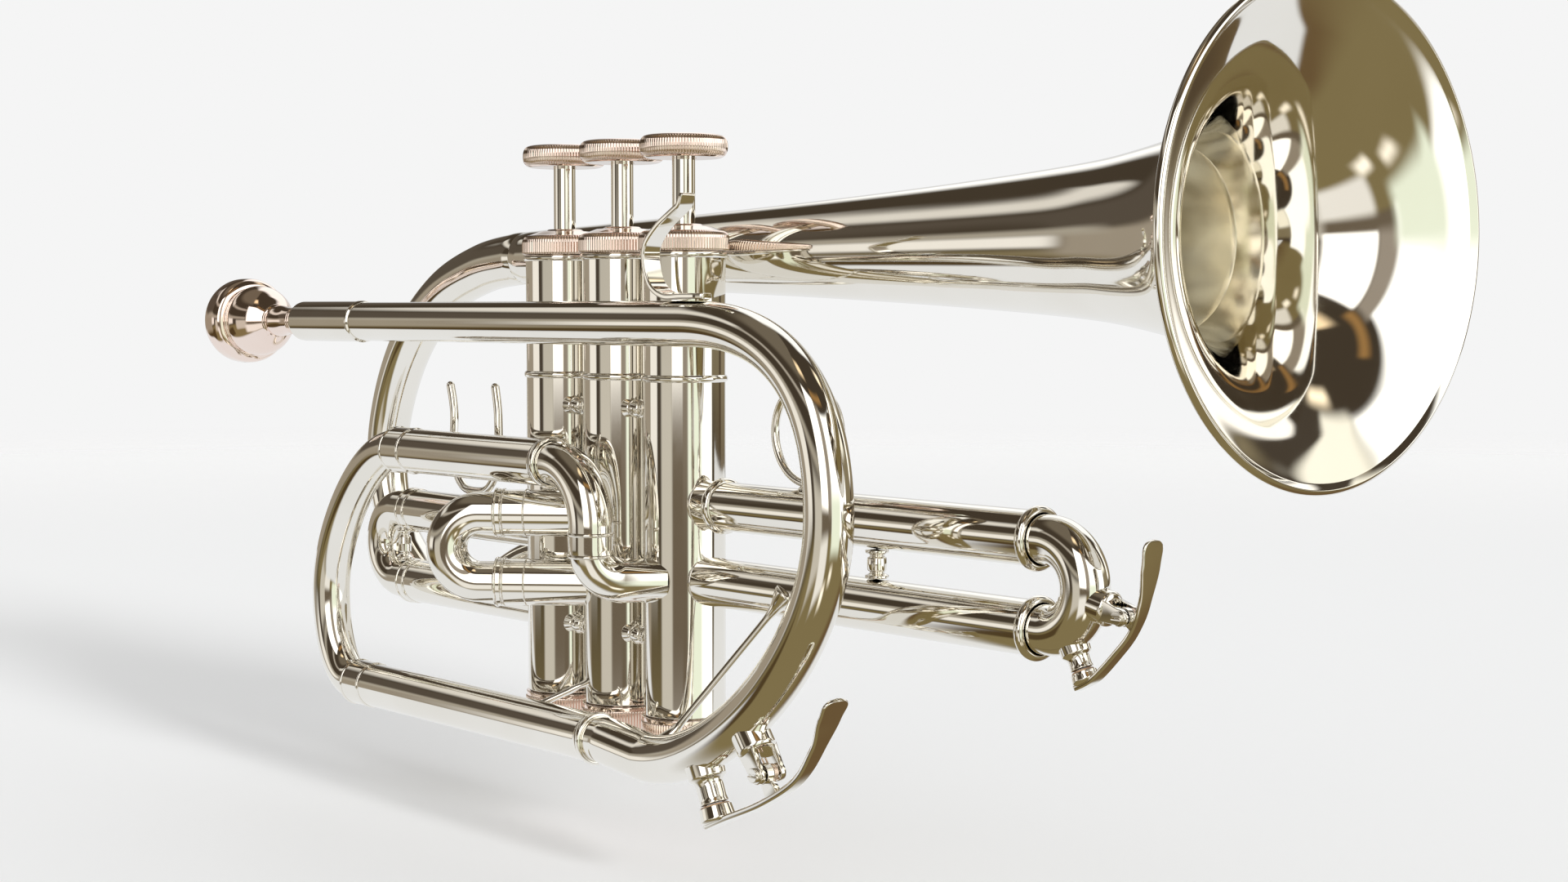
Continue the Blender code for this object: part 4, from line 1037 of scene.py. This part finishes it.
def touch_widths(count, knots, widths, size):
    """The strip's width and thickness along its length, rounded off at the tip."""
    wide = []
    thick = []
    per = (count - 1) / (knots - 1)
    for i in range(count):
        k = min(int(i / per), len(widths) - 2)
        t = i / per - k
        t = t * t * (3 - 2 * t)
        w = widths[k] * (1 - t) + widths[k + 1] * t
        end = min((count - 1 - i) / (per * 0.6), 1.0)
        wide.append(size * w * math.sqrt(max(1 - (1 - end) ** 2, 0.02)))
        thinning = min(max((i / per - 3.5) / 2, 0.0), 1.0)
        thick.append(LEVER_THICK * size * (1.0 - 0.35 * thinning))
    return wide, thick


def key_lever(prefix, knots, pin_at, seat, out, height, size, small):
    """The formed strip with the boss on its pin and the cork's cup at its low end."""
    path = smooth_path(knots, 12)
    wide, thick = touch_widths(len(path), len(knots), LEVER_WIDTHS, size)
    bm = bmesh.new()
    swept_strip(bm, path, wide, thick, 0.5 * size)
    low = BOSS_LOW * size
    high = BOSS_HIGH * size
    hole = PIN_HOLE * size
    boss = [(hole, low), (2.5 * size, low), (2.5 * size, high), (hole, high)]
    turned(bm, fillet(boss, 0.2), pin_at, LEFT, 48)
    nearest = min(path, key=lambda p: (p - pin_at).length)
    reach = nearest - pin_at
    across = reach.cross(LEFT).normalized()
    web = [(-1.8 * size, reach.length * 0.35), (1.8 * size, reach.length * 0.35),
           (2.3 * size, reach.length), (-2.3 * size, reach.length)]
    middle = pin_at + LEFT * ((low + high) / 2)
    plate(bm, web, middle, across, reach.normalized(), (high - low) * 0.96, 0.2)
    floor = height + CORK_H * small + 0.6
    lip = height + 0.8
    end = height + CUP_H * small
    inner = NIPPLE_R * small + FIT
    cup = [(inner, lip), (CUP_R * small - 0.4, lip, 0.2), (CUP_R * small, end - 0.6, 0.3),
           (CUP_R * small - 0.9, end, 0.4), (0, end), (0, floor), (inner, floor)]
    turned(bm, fillet(cup, 0.2), seat, out, 72)
    piece(prefix + "_lever_fine", bm, "silver_plate", prefix, prefix + "_lever")


def key_spring(prefix, pin_at, out, size):
    """The rose wire: coiled beside the boss, with a straight end towards the tube."""
    along = out.cross(LEFT).normalized()
    wire = 0.24 * size
    first = BOSS_HIGH * size + FIT + wire
    last = EAR_IN * size - FIT - wire
    turns = 3
    count = turns * 24
    path = []
    for i in range(count + 1):
        a = 2 * math.pi * turns * i / count - math.pi / 2
        turn = out * math.cos(a) + along * math.sin(a)
        path.append(pin_at + LEFT * (first + (last - first) * i / count) + turn * (1.9 * size))
    path.append(path[-1] - out * (4.6 * size))
    bm = bmesh.new()
    swept_wire(bm, path, wire, sides=10)
    piece(prefix + "_spring_fine", bm, "spring_wire", KEY_BASE[prefix], prefix + "_spring")


def water_key(prefix, foot, pivot, height, sizes, tail):
    size, small = sizes
    pin_at = key_saddle(prefix, *pivot, size)
    key_nipple(prefix, *foot, height, small)
    key_cork(prefix, *foot, height, small)
    seat, out = foot
    tip = seat + out * (height + CUP_H * small)
    along = out.cross(LEFT)
    knots = [tip - along * (4.4 * small), tip + along * (3.8 * small)] + tail
    key_lever(prefix, knots, pin_at, seat, out, height, size, small)
    key_spring(prefix, pin_at, pivot[1], size)


def bow_seat(t):
    """A point on the outer side of the bow's lower sweep, and its outward direction."""
    ends = (xz(BOW_X, BOW_Z), xz(BOW_X, BOW_FOOT_Z), xz(BOW_FOOT_X, BOW_FOOT_Z))
    sweep = quarter(*ends, BOW_LOW_HOLD, 200, 0)
    near = [sweep[round(200 * u)] for u in (t - 0.02, t, t + 0.02)]
    out = (near[2] - near[0]).normalized().cross(LEFT)
    return near[1] + out * (BOW_R + FIT), out


def crook_seat(degrees):
    """The same for the outer side of the third slide's crook."""
    centre = Vector((THIRD_BEND, 0, sum(THIRD_Z) / 2))
    angle = math.radians(degrees)
    out = Vector((math.cos(angle), 0, math.sin(angle)))
    return centre + out * ((THIRD_Z[0] - THIRD_Z[1]) / 2 + LEG_R + FIT), out


KEY_BASE = {"bow_key": "horn", "slide_key": "third_slide"}


def build_water_keys():
    tail = [xz(92.8, -3.0), xz(105.4, 4.6), xz(112.6, 13.4), xz(117.0, 21.2), xz(120.4, 26.6)]
    water_key("bow_key", *map(bow_seat, BOW_SPOTS), BOW_NIPPLE_H, BOW_KEY, tail)
    tail = [xz(187.0, 42.8, 0), xz(191.6, 48.2, 0), xz(194.6, 54.8, 0), xz(196.4, 63.2, 0),
            xz(197.2, 69.4, 0)]
    water_key("slide_key", *map(crook_seat, CROOK_SPOTS), SLIDE_NIPPLE_H, SLIDE_KEY, tail)


# ============ stage
CAMERA_LENS = 53.06
CAMERA_SENSOR = 36.0
CAMERA_AT = (0.532, -0.391, 0.120)      # metres
CAMERA_TILT = 86.76                     # degrees, 90 looks level
CAMERA_TURN = 49.7                      # degrees, from looking along +Y


def camera():
    data = bpy.data.cameras.new("view")
    data.lens = CAMERA_LENS
    data.sensor_width = CAMERA_SENSOR
    data.clip_start = 0.01
    cam = new_object("view", data)
    cam.location = CAMERA_AT
    cam.rotation_euler = (math.radians(CAMERA_TILT), 0, math.radians(CAMERA_TURN))
    bpy.context.scene.camera = cam


def math_node(tree, operation, first, second=None):
    node = tree.nodes.new("ShaderNodeMath")
    node.operation = operation
    for socket, value in zip(node.inputs, (first, second)):
        if isinstance(value, (int, float)):
            socket.default_value = value
        elif value is not None:
            tree.links.new(value, socket)
    return node.outputs[0]


def soft_edge(tree, distance, half, soft):
    """1 within half of a patch's middle, fading to 0 over its soft edge."""
    ramp = tree.nodes.new("ShaderNodeMapRange")
    ramp.interpolation_type = "SMOOTHSTEP"
    ramp.inputs["From Min"].default_value = half + soft / 2
    ramp.inputs["From Max"].default_value = half - soft / 2
    tree.links.new(distance, ramp.inputs["Value"])
    return ramp.outputs[0]


def paint(tree, colour, compass, height, patch):
    """Lays one soft-edged patch of the studio over the colour so far."""
    (west, east), (low, high), soft, tint = patch
    across = math_node(tree, "SUBTRACT", compass, (west + east) / 2)
    across = math_node(tree, "PINGPONG", across, 180)
    rise = math_node(tree, "SUBTRACT", height, (low + high) / 2)
    rise = math_node(tree, "ABSOLUTE", rise)
    mask = math_node(tree, "MULTIPLY", soft_edge(tree, across, (east - west) / 2, soft),
                     soft_edge(tree, rise, (high - low) / 2, soft))
    mix = tree.nodes.new("ShaderNodeMix")
    mix.data_type = "RGBA"
    mix.clamp_factor = True
    tree.links.new(mask, mix.inputs["Factor"])
    if isinstance(colour, tuple):
        mix.inputs["A"].default_value = (*colour, 1)
    else:
        tree.links.new(colour, mix.inputs["A"])
    mix.inputs["B"].default_value = (*tint, 1)
    return mix.outputs["Result"]


# Each patch: compass range and height range in degrees (0 is +X, 90 is +Y), softness, colour.
CEILING = (0.06, 0.045, 0.03)
STUDIO = (
    ((130, 300), (54, 100), 14, (0.17, 0.14, 0.10)),
    ((-180, 180), (-95, -9), 10, (0.235, 0.185, 0.085)),
    ((56, 112), (-62, -6), 26, (0.155, 0.10, 0.045)),
    ((124, 176), (-40, -3), 12, (0.72, 0.70, 0.66)),
    ((176, 240), (-31, -14), 6, (0.085, 0.055, 0.022)),
    ((150, 214), (-13, 9), 8, (0.36, 0.31, 0.24)),
    ((150, 214), (9, 26), 6, (0.10, 0.08, 0.06)),
    ((180, 224), (29, 37), 6, (0.80, 0.76, 0.69)),
    ((224, 286), (30, 35), 6, (0.50, 0.45, 0.38)),
    ((206, 286), (5, 11), 6, (0.42, 0.38, 0.31)),
    ((243, 277), (-5, 4), 5, (0.07, 0.055, 0.04)),
    ((214, 241), (-6, 5), 5, (0.97, 0.93, 0.86)),
    ((90, 150), (16, 62), 12, (1.2, 1.2, 1.18)),
    ((118, 152), (-6, 18), 8, (0.75, 0.75, 0.75)),
    ((86, 118), (-4, 18), 8, (0.27, 0.22, 0.14)),
    ((277, 335), (-12, 0), 6, (0.16, 0.125, 0.085)),
    ((255, 288), (-22, 2), 8, (0.62, 0.58, 0.50)),
    ((286, 318), (-36, -12), 8, (0.95, 0.92, 0.86)),
    ((318, 336), (-3, 44), 8, (0.36, 0.31, 0.25)),
    ((288, 318), (-2, 46), 4, (1.9, 1.85, 1.75)),
    ((334, 405), (-14, 40), 5, (1.6, 1.6, 1.55)),
    ((333, 372), (-22, 4), 10, (0.95, 1.02, 0.84)),
    ((405, 436), (-2, 14), 6, (0.26, 0.215, 0.13)),
    ((405, 426), (14, 42), 7, (1.2, 1.16, 1.0)),
    ((423, 436), (14, 45), 5, (0.07, 0.055, 0.04)),
    ((437, 447), (2, 31), 4, (1.4, 1.35, 1.25)),
    ((318, 365), (47, 53), 6, (0.36, 0.20, 0.07)),
    ((55, 72), (46, 54), 9, (1.7, 1.45, 1.05)),
    ((300, 322), (62, 74), 10, (1.3, 1.0, 0.62)),
    ((317, 330), (-44, -35), 8, (1.4, 1.3, 1.1)),
    ((340, 352), (-36, -29), 8, (1.3, 1.2, 1.0)),
)
BACKDROP = (0.913, 0.913, 0.913)
ROOM_LIGHT = (0.665, 0.665, 0.665)

# The floor, in metres: the paper, and a glowing sheet, a painted reflection of lit floor that only
# the metal mirrors.
PAPER = (0.925, 0.93, 0.935)
PAPER_END = 1.7
PAPER_FADE = 1.6
# The sheet's glow colour: painted light, the reflection of a lit floor.
SHEET = (0.85, 0.86, 0.87)
SHEET_LEAN = 0.68           # how far its east and west edges lean east for each step north
SHEET_MIDDLE = (-0.729, 0.66)
SHEET_HALF = (0.81, 0.84)
SHEET_EDGE = 0.04

SUN_ENERGY = 2.5
SUN_ANGLE = 11.0            # degrees across, for soft shadows
SUN_DIRECTION = Vector((-0.98, 0.06, -0.30))


def blend(tree, factor, first, second):
    """The first shader where the factor is 0, the second where it is 1."""
    mix = tree.nodes.new("ShaderNodeMixShader")
    tree.links.new(factor, mix.inputs[0])
    tree.links.new(first, mix.inputs[1])
    tree.links.new(second, mix.inputs[2])
    return mix.outputs[0]


def world():
    """A soft studio that the metal mirrors, an even light on matt things, a plain backdrop."""
    room = bpy.data.worlds.new("studio")
    room.use_nodes = True
    bpy.context.scene.world = room
    tree = room.node_tree
    studio = tree.nodes["Background"]
    place = tree.nodes.new("ShaderNodeTexCoord")
    split = tree.nodes.new("ShaderNodeSeparateXYZ")
    link(tree, place, "Generated", split, "Vector")
    degrees = 180 / math.pi
    compass = math_node(tree, "ARCTAN2", split.outputs["Y"], split.outputs["X"])
    compass = math_node(tree, "MULTIPLY", compass, degrees)
    height = math_node(tree, "MULTIPLY", math_node(tree, "ARCSINE", split.outputs["Z"]), degrees)
    colour = CEILING
    for patch in STUDIO:
        colour = paint(tree, colour, compass, height, patch)
    tree.links.new(colour, studio.inputs["Color"])
    backdrop = tree.nodes.new("ShaderNodeBackground")
    backdrop.inputs["Color"].default_value = (*BACKDROP, 1)
    even = tree.nodes.new("ShaderNodeBackground")
    even.inputs["Color"].default_value = (*ROOM_LIGHT, 1)
    rays = tree.nodes.new("ShaderNodeLightPath")
    lit = blend(tree, rays.outputs["Is Diffuse Ray"], studio.outputs[0], even.outputs[0])
    seen = blend(tree, rays.outputs["Is Camera Ray"], lit, backdrop.outputs[0])
    tree.links.new(seen, tree.nodes["World Output"].inputs["Surface"])


def floor_material():
    """Matt pale paper that thins out into the backdrop.

    Glossy rays don't see the paper: the metal mirrors the glowing sheet in its place, a painted
    reflection of lit floor.
    """
    mat, tree, shader = new_material("floor_paper")
    shader.inputs["Base Color"].default_value = (*PAPER, 1)
    shader.inputs["Roughness"].default_value = 0.9
    shader.inputs["Specular IOR Level"].default_value = 0.1
    place = tree.nodes.new("ShaderNodeTexCoord")
    distance = tree.nodes.new("ShaderNodeVectorMath")
    distance.operation = "LENGTH"
    link(tree, place, "Object", distance, 0)
    clear = tree.nodes.new("ShaderNodeBsdfTransparent").outputs[0]
    near = soft_edge(tree, distance.outputs["Value"], PAPER_END, PAPER_FADE)
    paper = blend(tree, near, clear, shader.outputs[0])
    split = tree.nodes.new("ShaderNodeSeparateXYZ")
    link(tree, place, "Object", split, "Vector")
    lean = math_node(tree, "MULTIPLY", split.outputs["Y"], SHEET_LEAN)
    across = math_node(tree, "SUBTRACT", split.outputs["X"], lean)
    edges = []
    for place_on, middle, half in zip((across, split.outputs["Y"]), SHEET_MIDDLE, SHEET_HALF):
        away = math_node(tree, "SUBTRACT", place_on, middle)
        edges.append(soft_edge(tree, math_node(tree, "ABSOLUTE", away), half, SHEET_EDGE))
    mask = math_node(tree, "MULTIPLY", *edges)
    # The sheet glows: a painted reflection of lit floor, seen only by glossy rays.
    glow = tree.nodes.new("ShaderNodeEmission")
    glow.inputs["Color"].default_value = (*SHEET, 1)
    sheet = blend(tree, mask, clear, glow.outputs[0])
    rays = tree.nodes.new("ShaderNodeLightPath")
    seen = blend(tree, rays.outputs["Is Glossy Ray"], paper, sheet)
    tree.links.new(seen, tree.nodes["Material Output"].inputs["Surface"])
    return mat


def floor():
    bm = bmesh.new()
    rings = [add_ring(bm, circle(Vector((0, 0, FLOOR_Z)), EAST, LEFT, r, 64))
             for r in (60, 400, 1200, 2600)]
    bm.faces.new(rings[0])
    for k in range(len(rings) - 1):
        bridge(bm, rings[k], rings[k + 1])
    ground = mesh_object("floor", bm, floor_material())


def key_light():
    """A wide low sun from the bell's side, which draws the long soft shadows."""
    lamp = bpy.data.lights.new("key", "SUN")
    lamp.energy = SUN_ENERGY
    lamp.angle = math.radians(SUN_ANGLE)
    sun = new_object("key", lamp)
    sun.rotation_euler = SUN_DIRECTION.to_track_quat("-Z", "Y").to_euler()
    sun.visible_glossy = False


build_valves()
build_tubing()
bell()
bell_tail()
build_water_keys()
camera()
world()
floor()
key_light()
bpy.context.scene.view_settings.view_transform = "Standard"
